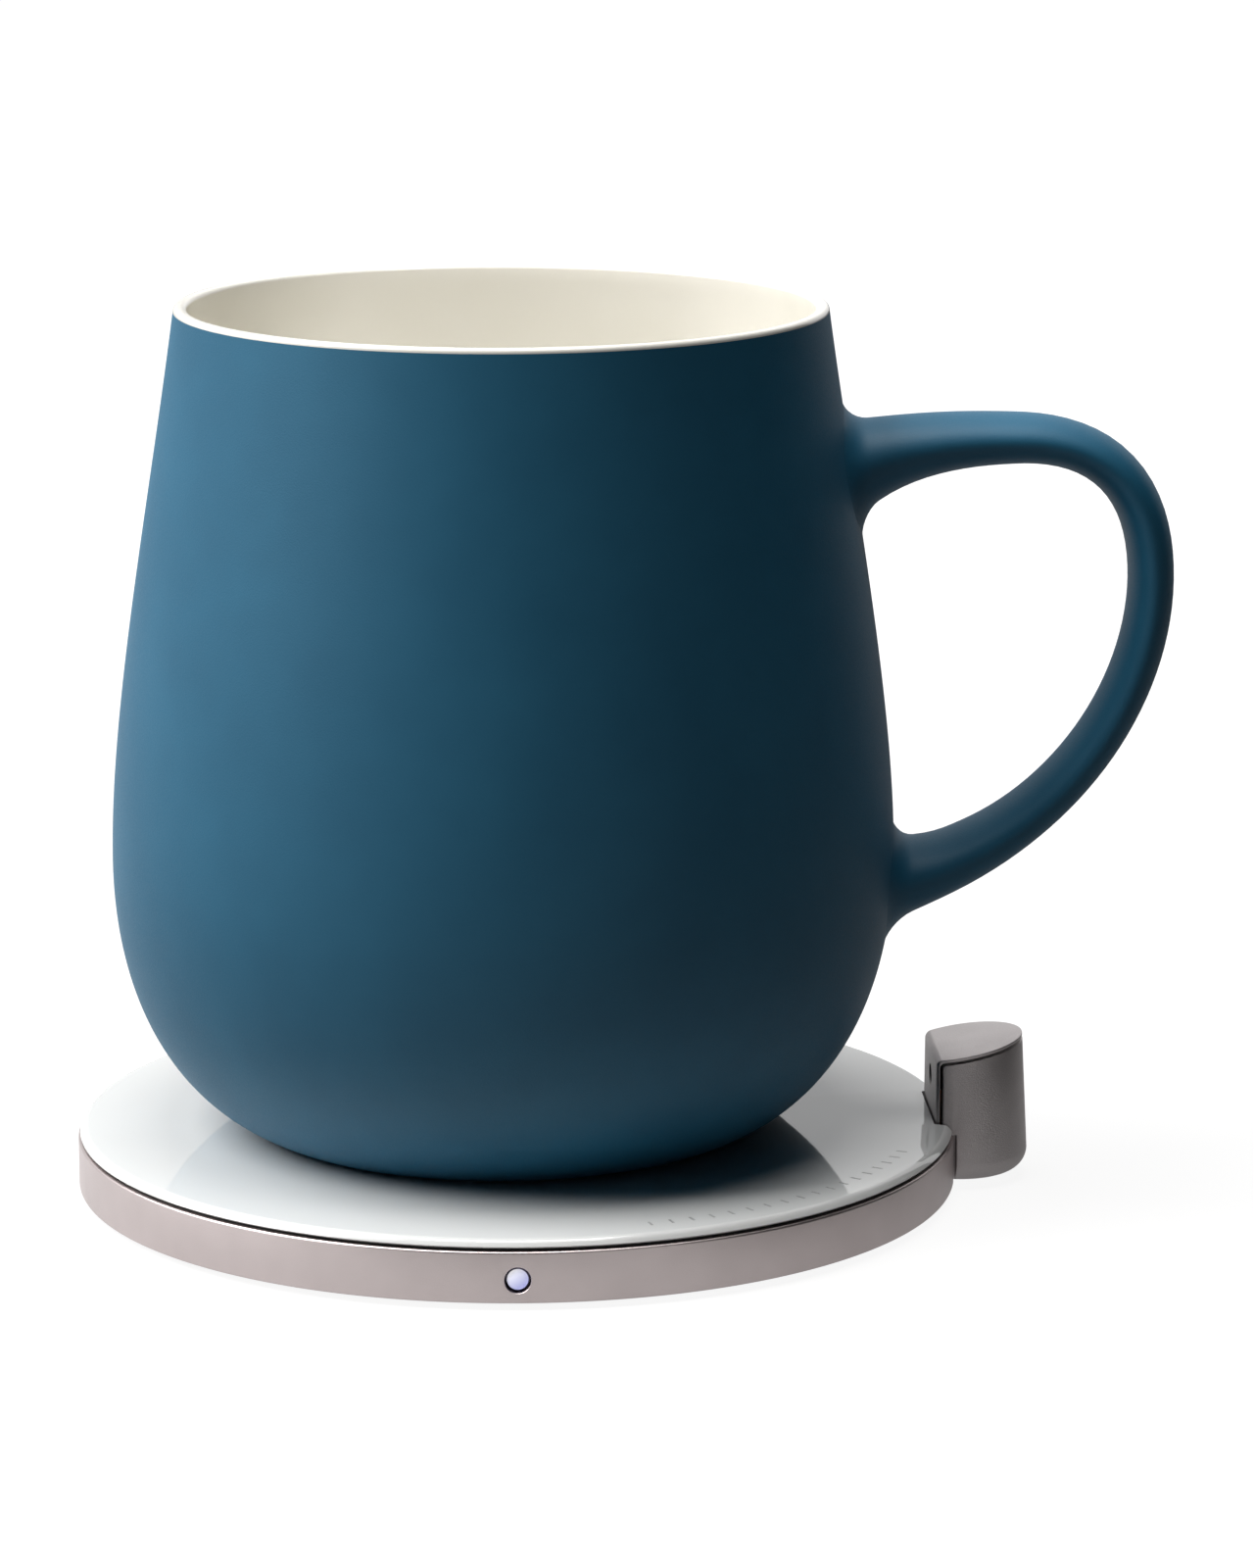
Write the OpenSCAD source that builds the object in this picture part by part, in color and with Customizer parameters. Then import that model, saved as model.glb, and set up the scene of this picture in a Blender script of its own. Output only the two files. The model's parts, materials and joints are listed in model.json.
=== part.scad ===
// Self-heating mug on its round warming pad, with a small sensor post at the pad's edge.
// Millimetres, +Z up. The origin lies on the table under the pad's centre, -Y is the pad's front.

/* [Mug] */
// Height of the mug from its foot to the top of the lip
mug_h = 96.9; // [88:0.1:110]
// Outer radius of the belly, the widest part
belly_r = 45.9; // [42:0.1:50]
// Height of the belly above the foot
belly_z = 32.1; // [28:0.1:37]
// Outer radius of the mouth
mouth_r = 37.85; // [34:0.05:41]
// Radius of the foot that the mug stands on
foot_r = 28.9; // [28:0.1:32]
// Angle above the table at which the side leaves the foot
foot_flare = 21; // [15:1:30]
// Pull of the foot on the lower curve
foot_pull = 11.1; // [8:0.1:14]
// Pull of the belly on the lower curve
belly_pull_low = 16.6; // [12:0.1:19]
// Pull of the belly on the upper curve
belly_pull_high = 18.2; // [12:0.1:24]
// Pull of the mouth on the upper curve
mouth_pull = 21; // [15:0.1:26]
// Lean of the side from upright at the mouth
mouth_lean = 7.8; // [3:0.1:12]
// How far the mug stands to the left of the pad's centre
mug_shift = 1.45; // [0:0.05:4]

/* [Mug wall] */
// Thickness of the wall at the belly, with its inner glaze
wall_t = 3.8; // [3:0.1:5]
// Thickness of the lip
lip_t = 1.6; // [1.5:0.1:3]
// Height of the glazed lip above the edge of the outer colour
lip_rise = 0.6; // [0.4:0.05:0.7]
// Thickness of the glaze coat inside
glaze_t = 0.4; // [0.3:0.05:0.6]
// Thickness of the ceramic floor above the base cavity
floor_t = 4; // [3:0.1:6]
// Radius of the flat part of the floor inside
floor_r = 20; // [14:0.5:24]
// Pull of the floor on the inner curve
floor_pull = 14; // [10:0.5:17]

/* [Handle] */
// How far the middle of the grip stands out from the belly
grip_out = 29.8; // [25:0.1:36]
// Height above the foot at which the grip stands out farthest
grip_z = 64.4; // [58:0.1:70]
// Thickness of the grip, seen from the side
grip_t = 5.3; // [4.5:0.1:7]
// Width of the grip, seen from the end
grip_w = 11.4; // [10:0.1:14]
// Depth of the upper arm's middle line below the lip
arm_drop = 15.8; // [13:0.1:18]
// Length of the corner between the upper arm and the grip
corner_run = 15.7; // [12:0.1:18]
// Depth of the upper root's middle below the upper arm's middle line
root_sink = 3.5; // [2:0.1:5]
// Height of the lower root's middle above the foot
root_low_z = 28.5; // [24:0.1:32]
// Slope of the lower arm where it meets the mug
root_low_slope = 14.5; // [8:0.5:25]
// Pull along the upper arm at both of its ends
arm_pull = 6.3; // [4:0.1:8]
// Rise of the upper arm's pull where it meets the mug
arm_rise = 3; // [1:0.1:4]
// Pull of the grip on the curve below it
grip_pull = 14.7; // [10:0.1:20]
// Pull of the lower root on the same curve
root_low_pull = 19.5; // [14:0.1:23]
// Extra half thickness of the handle at its upper root
root_flare_top = 2.9; // [1.5:0.1:3.2]
// Extra half thickness of the handle at its lower root
root_flare_low = 2.4; // [1.5:0.1:3.2]
// Extra half width of the handle at its roots
root_flare_w = 1.6; // [0.5:0.1:2.5]
// Length over which a root flares
root_flare_len = 8.4; // [6:0.1:10]
// Gap of the slip joint between the handle and the mug
slip_gap = 0.06; // [0.05:0.01:0.1]

/* [Mug base] */
// Radius of the cavity under the mug
cavity_r = 26; // [24:0.1:26.5]
// Height of the cavity under the mug
cavity_h = 8.6; // [8:0.1:11]
// Thickness of the cover that closes the cavity
base_cover_t = 1.8; // [1.4:0.1:2.4]
// Depth of the cover above the foot
base_recess = 0.3; // [0.2:0.05:0.8]
// Width of the seal round the cover
base_seal_w = 0.6; // [0.5:0.05:1]
// Gap between the cavity and the pieces stacked in it
stack_gap = 0.5; // [0.3:0.1:1]
// Thickness of the receiver's ferrite
receiver_ferrite_t = 0.8; // [0.6:0.1:1]
// Thickness of the receiver's board
receiver_board_t = 0.8; // [0.6:0.1:1]
// Height of the receiver's chips
receiver_chip_h = 1; // [0.8:0.1:1.2]
// Thickness of the heating plate under the mug's floor
heating_plate_t = 1.2; // [0.8:0.1:1.6]

/* [Coils] */
// Turns of each coil
coil_turns = 10; // [6:1:11]
// Width of the wire bundle
wire_w = 0.75; // [0.5:0.05:0.9]
// Height of the wire bundle
wire_h = 1; // [0.8:0.05:1.1]
// Gap between two turns
turn_gap = 0.5; // [0.45:0.05:0.6]
// Radius of the hole in the middle of each coil
coil_hole_r = 9.5; // [7:0.1:10]

/* [Pad] */
// Outer radius of the pad
pad_r = 52; // [50:0.1:58]
// Height of the metal rim
rim_h = 5.95; // [5.5:0.05:7]
// Wall of the metal rim
rim_wall = 2; // [1.5:0.1:2.4]
// Bevel along the rim's two outer edges
rim_bevel = 0.3; // [0.15:0.05:0.5]
// Width of the rim's top flange
flange_w = 5; // [4:0.1:5.6]
// Thickness of the rim's top flange
flange_t = 1; // [0.8:0.1:1.2]
// Height of the foot below the pad
foot_proud = 0.8; // [0.6:0.1:1.5]
// Depth of the recess that holds the foot
foot_groove = 0.4; // [0.3:0.05:0.5]
// How far the foot reaches past the screws that it covers
foot_lap = 0.2; // [0.1:0.05:0.6]
// Thickness of the bottom cover
cover_t = 1.4; // [1.2:0.1:1.7]

/* [Pad top] */
// Thickness of the top plate at its edge
plate_t = 0.9; // [0.7:0.05:1.2]
// Extra thickness of the top plate inside the rim
plate_step = 0.8; // [0.5:0.05:1]
// How far the top plate stays inside the rim's outer face
plate_inset = 0.2; // [0.1:0.05:0.4]
// Rounding of the top plate's edge
plate_round = 0.4; // [0.2:0.05:0.6]
// Thickness of the gasket under the top plate
gasket_t = 0.36; // [0.3:0.02:0.5]
// How far the gasket stays inside the plate's edge
gasket_inset = 0.5; // [0.3:0.05:0.8]

/* [Pad inside] */
// Inner radius of the main board
board_in_r = 29; // [28:0.1:32]
// Gap between the main board and the screws' bosses
board_gap = 1.4; // [1:0.1:3]
// Half of the angle that the main board spans
board_span = 115; // [105:1:140]
// Thickness of the main board
board_t = 0.6; // [0.4:0.1:0.6]
// How far the main board's tabs reach past the inlet and past the button's switch
tab_margin = 3; // [2:0.1:4]
// Height of the tallest piece on the main board
chip_h = 1.8; // [1:0.1:2.2]
// Side of a large chip, from which the other chips take their sizes
chip_side = 6; // [4:0.1:7]
// Thickness of the ferrite under the coil
ferrite_t = 0.8; // [0.6:0.1:1]
// Radius of the ferrite under the coil
ferrite_r = 26; // [24:0.1:27]
// Thickness of the soft heat pad between the coil and the top plate
heat_pad_t = 0.5; // [0.3:0.05:0.7]
// Radius of the temperature probe
probe_r = 1.6; // [1.2:0.1:2.5]

/* [Sensor post] */
// Radius of the post at its base
post_base_r = 8.2; // [7.8:0.05:9]
// Radius of the post at its top
post_top_r = 7.45; // [7.2:0.05:8.4]
// How far the post's axis lies outside the pad's edge
post_out = 0.75; // [0:0.05:1]
// Distance of the post's flat face from its axis
post_flat = 3.4; // [2.5:0.05:3.5]
// Turn of the post about the pad's centre, from the handle's side
post_turn = 1.9; // [0:0.1:6]
// Height of the flat face's top edge above the table
post_h = 15.6; // [14:0.1:20]
// Slope of the post's top, which rises away from the mug
post_slope = 10; // [4:0.5:14]
// Rounding of the post's bottom edge
post_round = 2.6; // [1:0.1:3]
// Wall of the post's outer shell
shell_wall = 1.4; // [1.1:0.1:1.6]
// Thickness of the post's face
face_t = 0.4; // [0.35:0.05:0.6]
// Thickness of the post's cap, measured upright
cap_t = 0.4; // [0.35:0.05:0.6]
// Radius of the bend between the post's face and cap
post_bend = 1.1; // [0.9:0.1:1.6]
// Shadow gap between the face and the shell
shadow_gap = 0.45; // [0.3:0.05:0.5]
// Gap between the post and the pad
post_gap = 0.25; // [0.2:0.05:0.4]
// Thickness of the tongue that reaches from the post into the pad
tongue_t = 1.4; // [1.1:0.1:1.6]
// Half width of that tongue
tongue_half_w = 7; // [6.8:0.1:7.2]
// Diameter of the sensor's window
window_d = 2.2; // [1.8:0.1:2.6]
// Height of the window's middle above the table
window_z = 12.2; // [11.8:0.1:12.6]
// Thickness of the window
window_t = 0.3; // [0.2:0.05:0.3]
// Depth of the sensor between the window and its board
sensor_depth = 0.8; // [0.6:0.1:1]
// Thickness of the sensor's board
sensor_board_t = 0.8; // [0.6:0.1:0.9]
// Half width of the sensor's board
sensor_half = 4.2; // [3.6:0.1:4.6]
// Half width of the two ribs that hold the sensor's board
rib_half = 0.6; // [0.4:0.1:0.8]
// Side of the sensor itself
sensor_side = 3; // [2.6:0.1:3.4]
// Thickness of the ribbon to the sensor's board
ribbon_t = 0.2; // [0.15:0.05:0.3]
// Width of the ribbon
ribbon_w = 2; // [1.4:0.1:2.2]
// Lap of the ribbon over the main board
ribbon_lap = 3; // [2:0.1:5]

/* [Button] */
// Diameter of the lit button
button_d = 2.4; // [2:0.1:2.8]
// Gap round the button
button_gap = 0.3; // [0.25:0.05:0.4]
// Height of the button's axis above the table
button_z = 3.5; // [3.45:0.05:3.8]
// Height of the button's dome
button_dome = 0.5; // [0.3:0.05:0.7]
// Bevel round the button's hole
button_bevel = 0.25; // [0.1:0.05:0.4]
// How far the button can be pressed
button_travel = 0.5; // [0.3:0.05:0.6]
// Half width of the bar that keeps the button in
bar_half_w = 2.2; // [1.9:0.1:2.6]
// Half height of that bar
bar_half_h = 1; // [0.7:0.05:1]
// Thickness of that bar
bar_t = 0.6; // [0.4:0.1:0.8]
// Radius of the switch's plunger
plunger_r = 0.5; // [0.3:0.05:0.5]
// Length of the plunger
plunger_len = 1.6; // [1.4:0.1:1.8]
// Gap round the plunger
plunger_gap = 0.12; // [0.1:0.01:0.15]
// Width of the switch behind the button
switch_w = 4; // [3:0.1:5]
// Depth of that switch
switch_d = 3; // [2.8:0.1:4]
// Height of that switch
switch_h = 1.8; // [1.6:0.1:2.4]
// Width of the light beside the switch
led_w = 1.6; // [1:0.1:2]
// Depth of that light
led_d = 0.8; // [0.6:0.1:1.2]
// Height of that light
led_h = 0.7; // [0.5:0.1:1.2]

/* [Power inlet] */
// Outer width of the inlet's metal shell
inlet_w = 8.94; // [8.9:0.01:9]
// Outer height of the inlet's metal shell
inlet_h = 3.2; // [3.15:0.01:3.3]
// Sheet of the inlet's metal shell
inlet_wall = 0.3; // [0.25:0.01:0.32]
// Length of the inlet
inlet_len = 7.3; // [7:0.1:8]
// Height of the inlet's axis above the table
inlet_z = 3.95; // [3.9:0.05:4.1]
// How far the inlet's mouth lies inside the rim's outer face
inlet_inset = 0.8; // [0.6:0.1:1.2]
// Gap between the inlet and the rim
inlet_gap = 0.2; // [0.15:0.05:0.3]
// Width of the contact tongue
contact_w = 6.69; // [6.6:0.01:6.8]
// Thickness of the contact tongue
contact_t = 0.7; // [0.6:0.05:0.8]
// Length of the contact tongue
contact_len = 4.5; // [4:0.1:5]

/* [Screws] */
// Shank radius of the screws
shank_r = 0.9; // [0.8:0.05:1]
// Head radius of the screws
head_r = 1.8; // [1.6:0.05:1.9]
// Head height of the screws
head_h = 0.9; // [0.8:0.05:1]
// Length of the shank
shank_len = 3.2; // [2.6:0.1:3.3]
// Gap round a shank in a clearance hole
shank_gap = 0.2; // [0.1:0.05:0.25]
// Gap round a shank in a threaded hole
thread_gap = 0.05; // [0.02:0.01:0.1]
// Gap round a head
head_gap = 0.2; // [0.1:0.05:0.3]
// Radius of the bosses round the screws
boss_r = 3; // [2.6:0.1:3.1]
// Height of the bosses above the bottom cover
boss_h = 1.1; // [0.9:0.1:1.3]
// Distance of the pad's screws from the rim's outer face
screw_inset = 5.6; // [5.4:0.1:5.9]
// Half of the distance between the two screws of the post
post_screw_half = 4.2; // [3.9:0.1:4.2]
// Radius of the screw's column inside the post
post_column_r = 2.4; // [2.1:0.1:2.6]

/* [Fits] */
// Gap between the bottom cover and the rim
cover_gap = 0.15; // [0.1:0.05:0.3]
// Gap between neighbouring pieces inside the pad
inner_gap = 0.3; // [0.2:0.05:0.5]

/* [Hidden] */
$fn = 96;

// A cut or a filler reaches this much past the faces it has to clear
over = 1;
// Steps of a profile curve, and of a rounded edge
curve_steps = 14;
edge_steps = 6;

// Heights of the pad's layers above the table
rim_top = foot_proud + rim_h;
plate_z = rim_top + gasket_t;
pad_top = plate_z + plate_t;
plate_low = plate_z - plate_step;
flange_low = rim_top - flange_t;
cover_top = foot_proud + cover_t;
board_top = cover_top + board_t;
heat_pad_z = plate_low - heat_pad_t;
coil_z = heat_pad_z - wire_h;
ferrite_z = coil_z - ferrite_t;
boss_top = cover_top + boss_h;
// The rim's bosses end inside the flange, and below the plate
rim_boss_h = (flange_low + plate_low) / 2 - boss_top;
head_z = foot_proud + foot_groove;
seat_z = head_z + head_h;

// Radii of the pad
rim_in_r = pad_r - rim_wall;
flange_r = pad_r - flange_w;
plate_r = pad_r - plate_inset;
cover_r = rim_in_r - cover_gap;
screw_r = pad_r - screw_inset;
foot_mat_r = norm([screw_r, post_screw_half]) + head_r + head_gap + foot_lap;
board_out_r = screw_r - boss_r - board_gap;

// Places of the sensor post, whose axis is at post_x and whose flat face looks to -X
post_x = pad_r + post_out;
face_x = post_x - post_flat;
face_back = face_x + face_t;
shell_x = face_back + shadow_gap;
post_top = post_h + (post_x + post_base_r - face_x) * tan(post_slope);
tongue_z = boss_top;
tongue_x = screw_r - boss_r;
sensor_x = face_x + face_t + sensor_depth;
sensor_low = window_z - sensor_side / 2;
sensor_board_top = window_z + window_d / 2;
sensor_board_low = pad_top + over;
post_column_x = sensor_x + sensor_board_t + inner_gap + post_column_r;

// Heights of the mug's layers above its foot
rim_z = mug_h - lip_rise;
floor_z = cavity_h + floor_t;
receiver_coil_z = base_recess + base_cover_t;
receiver_ferrite_z = receiver_coil_z + wire_h;
receiver_board_z = receiver_ferrite_z + receiver_ferrite_t;
receiver_chip_z = receiver_board_z + receiver_board_t;
insulation_z = receiver_chip_z + receiver_chip_h;
heating_z = cavity_h - heating_plate_t;
stack_r = cavity_r - stack_gap;
coil_pitch = wire_w + turn_gap;

// Colours as the object shows them
blue_glaze = [0.16, 0.30, 0.40];
white_glaze = [0.93, 0.91, 0.87];
white_gloss = [0.92, 0.93, 0.93];
taupe_metal = [0.62, 0.57, 0.57];
dark_taupe = [0.45, 0.42, 0.42];
black_rubber = [0.08, 0.08, 0.08];
grey_plastic = [0.36, 0.35, 0.35];
board_green = [0.10, 0.36, 0.22];
copper = [0.72, 0.42, 0.22];
ferrite_grey = [0.20, 0.20, 0.22];
chip_black = [0.12, 0.12, 0.13];
steel = [0.72, 0.73, 0.75];
soft_pink = [0.80, 0.66, 0.66];
lit_lavender = [0.90, 0.88, 0.98];

// Point at t on the cubic curve with ends a and d and handles b and c
function bezier(a, b, c, d, t) =
  pow(1 - t, 3) * a + 3 * t * pow(1 - t, 2) * b + 3 * t * t * (1 - t) * c + pow(t, 3) * d;

function curve(a, b, c, d, steps, from = 0) =
  [for (i = [from:steps]) bezier(a, b, c, d, i / steps)];

function arc(x, z, r, from, to, steps) =
  [for (i = [0:steps])
    let (angle = from + (to - from) * i / steps)
    [x + r * cos(angle), z + r * sin(angle)]];

function backwards(list) = [for (i = [len(list) - 1:-1:0]) list[i]];

// Side of the mug from the foot to the mouth, moved in by inset; the pulls are the same inside and out
function side_high(inset, top_inset, top_z) = curve(
  [belly_r - inset, belly_z],
  [belly_r - inset, belly_z + belly_pull_high],
  [mouth_r - top_inset + mouth_pull * tan(mouth_lean), top_z - mouth_pull],
  [mouth_r - top_inset, top_z],
  curve_steps, 1);

outer_side = concat(
  curve(
    [foot_r, 0],
    [foot_r + foot_pull * cos(foot_flare), foot_pull * sin(foot_flare)],
    [belly_r, belly_z - belly_pull_low],
    [belly_r, belly_z],
    curve_steps),
  side_high(0, 0, rim_z));

// Inside of the mug from the floor to the lip, with the glaze coat taken off by deeper
function inner_side(deeper) = concat(
  curve(
    [floor_r, floor_z - deeper],
    [floor_r + floor_pull, floor_z - deeper],
    [belly_r - wall_t + deeper, belly_z - (belly_z - floor_z) / 2],
    [belly_r - wall_t + deeper, belly_z],
    curve_steps),
  side_high(wall_t - deeper, lip_t - deeper, rim_z));

// Top of the lip from its outer edge to its inner one
lip_inner_round = lip_t / 2;
lip_edge = concat(
  arc(mouth_r - lip_rise, rim_z, lip_rise, 0, 90, edge_steps),
  [for (p = arc(0, 0, 1, 90, 180, edge_steps))
    [mouth_r - lip_t + lip_inner_round * (1 + p[0]), rim_z + lip_rise * p[1]]]);

// Outer radius of the mug at height z
function side_r(z) = lookup(z, [for (p = outer_side) [p[1], p[0]]]);

// Places a piece of the mug on the pad
module on_pad() {
  translate([-mug_shift, 0, pad_top]) children();
}

module disc(r, z, h, hole = 0) {
  translate([0, 0, z]) difference() {
    cylinder(r = r, h = h);
    if (hole > 0) translate([0, 0, -over]) cylinder(r = hole, h = h + 2 * over);
  }
}

module block(x0, x1, y_half, z0, z1) {
  translate([x0, -y_half, z0]) cube([x1 - x0, 2 * y_half, z1 - z0]);
}

module mug_body() color(blue_glaze) on_pad()
  rotate_extrude() polygon(concat(
    [[0, cavity_h], [cavity_r, cavity_h], [cavity_r, 0]],
    outer_side,
    backwards(inner_side(glaze_t)),
    [[0, floor_z - glaze_t]]));

module inner_glaze() color(white_glaze) on_pad()
  rotate_extrude() polygon(concat(
    [[0, floor_z - glaze_t]],
    inner_side(glaze_t),
    lip_edge,
    [for (p = backwards(inner_side(0))) if (p[1] < rim_z) p],
    [[0, floor_z]]));

// Middle line of the handle, from the upper root over the grip to the lower root
grip_x = belly_r + grip_out;
arm_z = mug_h - arm_drop;
root_top_z = arm_z - root_sink;
root_top = [side_r(root_top_z), root_top_z];
root_low = [side_r(root_low_z), root_low_z];
arm_end = [grip_x - corner_run, arm_z];
grip = [grip_x, grip_z];
handle_steps = 12;
// Share of the corner that its curve's handles take: about 0.55 is a round corner, more is squarer
corner_share = 0.65;
low_dir = [cos(root_low_slope), sin(root_low_slope)];
handle_line = concat(
  curve(
    root_top,
    root_top + [arm_pull, arm_rise],
    arm_end - [arm_pull, 0],
    arm_end,
    handle_steps),
  curve(
    arm_end,
    arm_end + [corner_share * corner_run, 0],
    grip + [0, corner_share * (arm_z - grip_z)],
    grip,
    handle_steps, 1),
  curve(
    grip,
    grip - [0, grip_pull],
    root_low + root_low_pull * low_dir,
    root_low,
    2 * handle_steps, 1));
handle_last = len(handle_line) - 1;

// Length along the middle line up to point i
function run_to(i) = i == 0 ? 0 : run_to(i - 1) + norm(handle_line[i] - handle_line[i - 1]);
handle_run = [for (i = [0:handle_last]) run_to(i)];
function to_root(i) = min(handle_run[i], handle_run[handle_last] - handle_run[i]);
function flare(i) = exp(-to_root(i) / root_flare_len);
function flare_t(i) = flare(i) * (i < handle_last / 2 ? root_flare_top : root_flare_low);

// Direction of the middle line, which turns level at the two roots
level_len = 14;
function heading(i) =
  let (
    d = handle_line[min(i + 1, handle_last)] - handle_line[max(i - 1, 0)],
    level = i < handle_last / 2 ? 0 : -180,
    free = min(1, to_root(i) / level_len),
    turn = atan2(d[1], d[0]),
    along = turn > 90 ? turn - 360 : turn)
  level + (along - level) * free;

// Oval section of the handle
section_points = 20;
function section(i) =
  let (a = heading(i), half_t = grip_t / 2 + flare_t(i), half_w = grip_w / 2 + root_flare_w * flare(i))
  [for (k = [0:section_points - 1])
    let (
      angle = 360 * k / section_points,
      out = half_t * cos(angle),
      wide = half_w * sin(angle))
    [handle_line[i][0] - out * sin(a), wide, handle_line[i][1] + out * cos(a)]];

// A root's end, laid on the mug's side: share 1 is its edge and smaller shares lie inside it
function on_side(y, z) = [sqrt(pow(side_r(z), 2) - y * y) + slip_gap, y, z];
function root_ring(i, share) =
  [for (p = section(i)) on_side(p[1] * share, handle_line[i][1] + share * (p[2] - handle_line[i][1]))];
root_shares = [1 / 3, 2 / 3, 1];

module mug_handle() color(blue_glaze) on_pad() {
  rings = concat(
    [for (s = root_shares) root_ring(0, s)],
    [for (i = [1:handle_last - 1]) section(i)],
    [for (s = backwards(root_shares)) root_ring(handle_last, s)]);
  n = section_points;
  last = len(rings) - 1;
  points = concat(
    [for (ring = rings) for (p = ring) p],
    [on_side(0, root_top[1]), on_side(0, root_low[1])]);
  start = n * len(rings);
  faces = concat(
    [for (k = [0:n - 1]) [start, (k + 1) % n, k]],
    [for (r = [0:last - 1]) for (k = [0:n - 1]) [r * n + k, r * n + (k + 1) % n, (r + 1) * n + k]],
    [for (r = [0:last - 1]) for (k = [0:n - 1])
      [r * n + (k + 1) % n, (r + 1) * n + (k + 1) % n, (r + 1) * n + k]],
    [for (k = [0:n - 1]) [start + 1, last * n + k, last * n + (k + 1) % n]]);
  polyhedron(points = points, faces = faces, convexity = 6);
}

module base_cover() color(grey_plastic) on_pad()
  disc(cavity_r - base_seal_w, base_recess, base_cover_t);

module base_seal() color(black_rubber) on_pad()
  disc(cavity_r, base_recess, base_cover_t, cavity_r - base_seal_w);

// Flat winding of one unbroken strip
turn_points = 30;
function winding_r(i) = coil_hole_r + coil_pitch * i / turn_points;
function winding_at(r, i) = r * [cos(360 * i / turn_points), sin(360 * i / turn_points)];
module winding() {
  last = coil_turns * turn_points;
  linear_extrude(wire_h) polygon(concat(
    [for (i = [0:last]) winding_at(winding_r(i), i)],
    [for (i = [last:-1:0]) winding_at(winding_r(i) + wire_w, i)]));
}
// Least gap between one turn's outer edge and the next turn's inner edge, measured on points
winding_gap = min([for (i = [0:(coil_turns - 1) * turn_points]) for (j = [-1:1])
  norm(winding_at(winding_r(i + turn_points + j), i + j) - winding_at(winding_r(i) + wire_w, i))]);
echo(winding_gap = winding_gap);

module receiver_coil() color(copper) on_pad()
  translate([0, 0, receiver_coil_z]) winding();

module receiver_ferrite() color(ferrite_grey) on_pad()
  disc(stack_r, receiver_ferrite_z, receiver_ferrite_t);

module receiver_board() color(board_green) on_pad()
  disc(stack_r, receiver_board_z, receiver_board_t);

// Sides of the receiver's chips, as shares of a large one's
receiver_shares = [1, 0.75, 0.6, 0.85, 0.45, 0.65];
module receiver_chips() color(chip_black) on_pad()
  for (i = [0:len(receiver_shares) - 1]) rotate(360 * i / len(receiver_shares)) {
    side = chip_side * receiver_shares[i];
    block(stack_r / 2, stack_r / 2 + side, side / 2, receiver_chip_z, insulation_z);
  }

module insulation_pad() color(white_gloss) on_pad()
  disc(stack_r, insulation_z, heating_z - insulation_z);

module heating_plate() color(steel) on_pad()
  disc(stack_r, heating_z, heating_plate_t);

// Turned shape of the sensor post, set off outwards by extra
function post_r(z) =
  post_base_r + (post_top_r - post_base_r) * (z - foot_proud) / (post_top - foot_proud);
module post_turned(extra, low, high, round_r) {
  r_low = post_r(low) + extra;
  r_high = post_r(high) + extra;
  translate([post_x, 0, 0]) rotate_extrude() polygon(concat(
    [[0, low]],
    round_r > 0 ? arc(r_low - round_r, low + round_r, round_r, -90, 0, edge_steps) : [[r_low, low]],
    [[r_high, high], [0, high]]));
}

// Everything behind the post's bent front: up the face, over the bend and up the slope, moved in by inset
// behind the face and by drop under the cap
module behind_bend(inset, drop, low) {
  bend_r = post_bend - inset / 2;
  corner = [face_x + inset, post_h - drop + inset * tan(post_slope)];
  centre = corner + bend_r * [1, tan(post_slope) - 1 / cos(post_slope)];
  far_x = post_x + 2 * post_base_r;
  translate([0, 2 * post_base_r, 0]) rotate([90, 0, 0]) linear_extrude(4 * post_base_r) polygon(concat(
    [[corner[0], low]],
    arc(centre[0], centre[1], bend_r, 180, 90 + post_slope, edge_steps),
    [[far_x, corner[1] + (far_x - corner[0]) * tan(post_slope)], [far_x, low]]));
}

// Turns a piece of the post to its place
module at_post() {
  rotate(post_turn) children();
}

// Room that the pad leaves for the post
module post_room() at_post() {
  intersection() {
    post_turned(post_gap, foot_proud - over, post_top, 0);
    block(face_x - post_gap, post_x + 2 * post_base_r, 2 * post_base_r, -over, post_top);
  }
}

// Hole for a screw's shank in thread, from its boss upwards
module thread_hole(z) {
  thread_top = seat_z + shank_len + inner_gap;
  translate([0, 0, z - over]) cylinder(r = shank_r + thread_gap, h = thread_top - z + over);
}

// Counterbore and clearance hole for a screw from below
module screw_room() {
  translate([0, 0, -over]) cylinder(r = head_r + head_gap, h = seat_z + over);
  cylinder(r = shank_r + shank_gap, h = boss_top + over);
}

// Places of the screws that hold the cover to the rim, and of those that hold the post's tongue
rim_screw_angles = [45, 135, 225, 315];
module at_rim_screws() for (a = rim_screw_angles) rotate(a) translate([screw_r, 0, 0]) children();
module at_tongue_screws() for (s = [-1, 1]) translate([screw_r, s * post_screw_half, 0]) children();
module at_post_screw() translate([post_column_x, 0, 0]) children();

module top_plate() color(white_gloss) difference() {
  step_r = flange_r - inner_gap;
  rotate_extrude() polygon(concat(
    [[0, plate_low], [step_r, plate_low], [step_r, plate_z], [plate_r, plate_z]],
    arc(plate_r - plate_round, pad_top - plate_round, plate_round, 0, 90, edge_steps),
    [[0, pad_top]]));
  post_room();
}

module plate_gasket() color(black_rubber) difference() {
  disc(plate_r - gasket_inset, rim_top, gasket_t, flange_r);
  post_room();
}

// Hole of the button through the rim, along Y
module button_room() {
  hole_r = button_d / 2 + button_gap;
  bevel_r = hole_r + button_bevel;
  translate([0, 0, button_z]) rotate([90, 0, 0]) {
    translate([0, 0, rim_in_r - over]) cylinder(r = hole_r, h = rim_wall + 2 * over);
    translate([0, 0, pad_r - button_bevel])
      cylinder(r1 = hole_r, r2 = bevel_r + over, h = button_bevel + over);
  }
}

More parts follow.
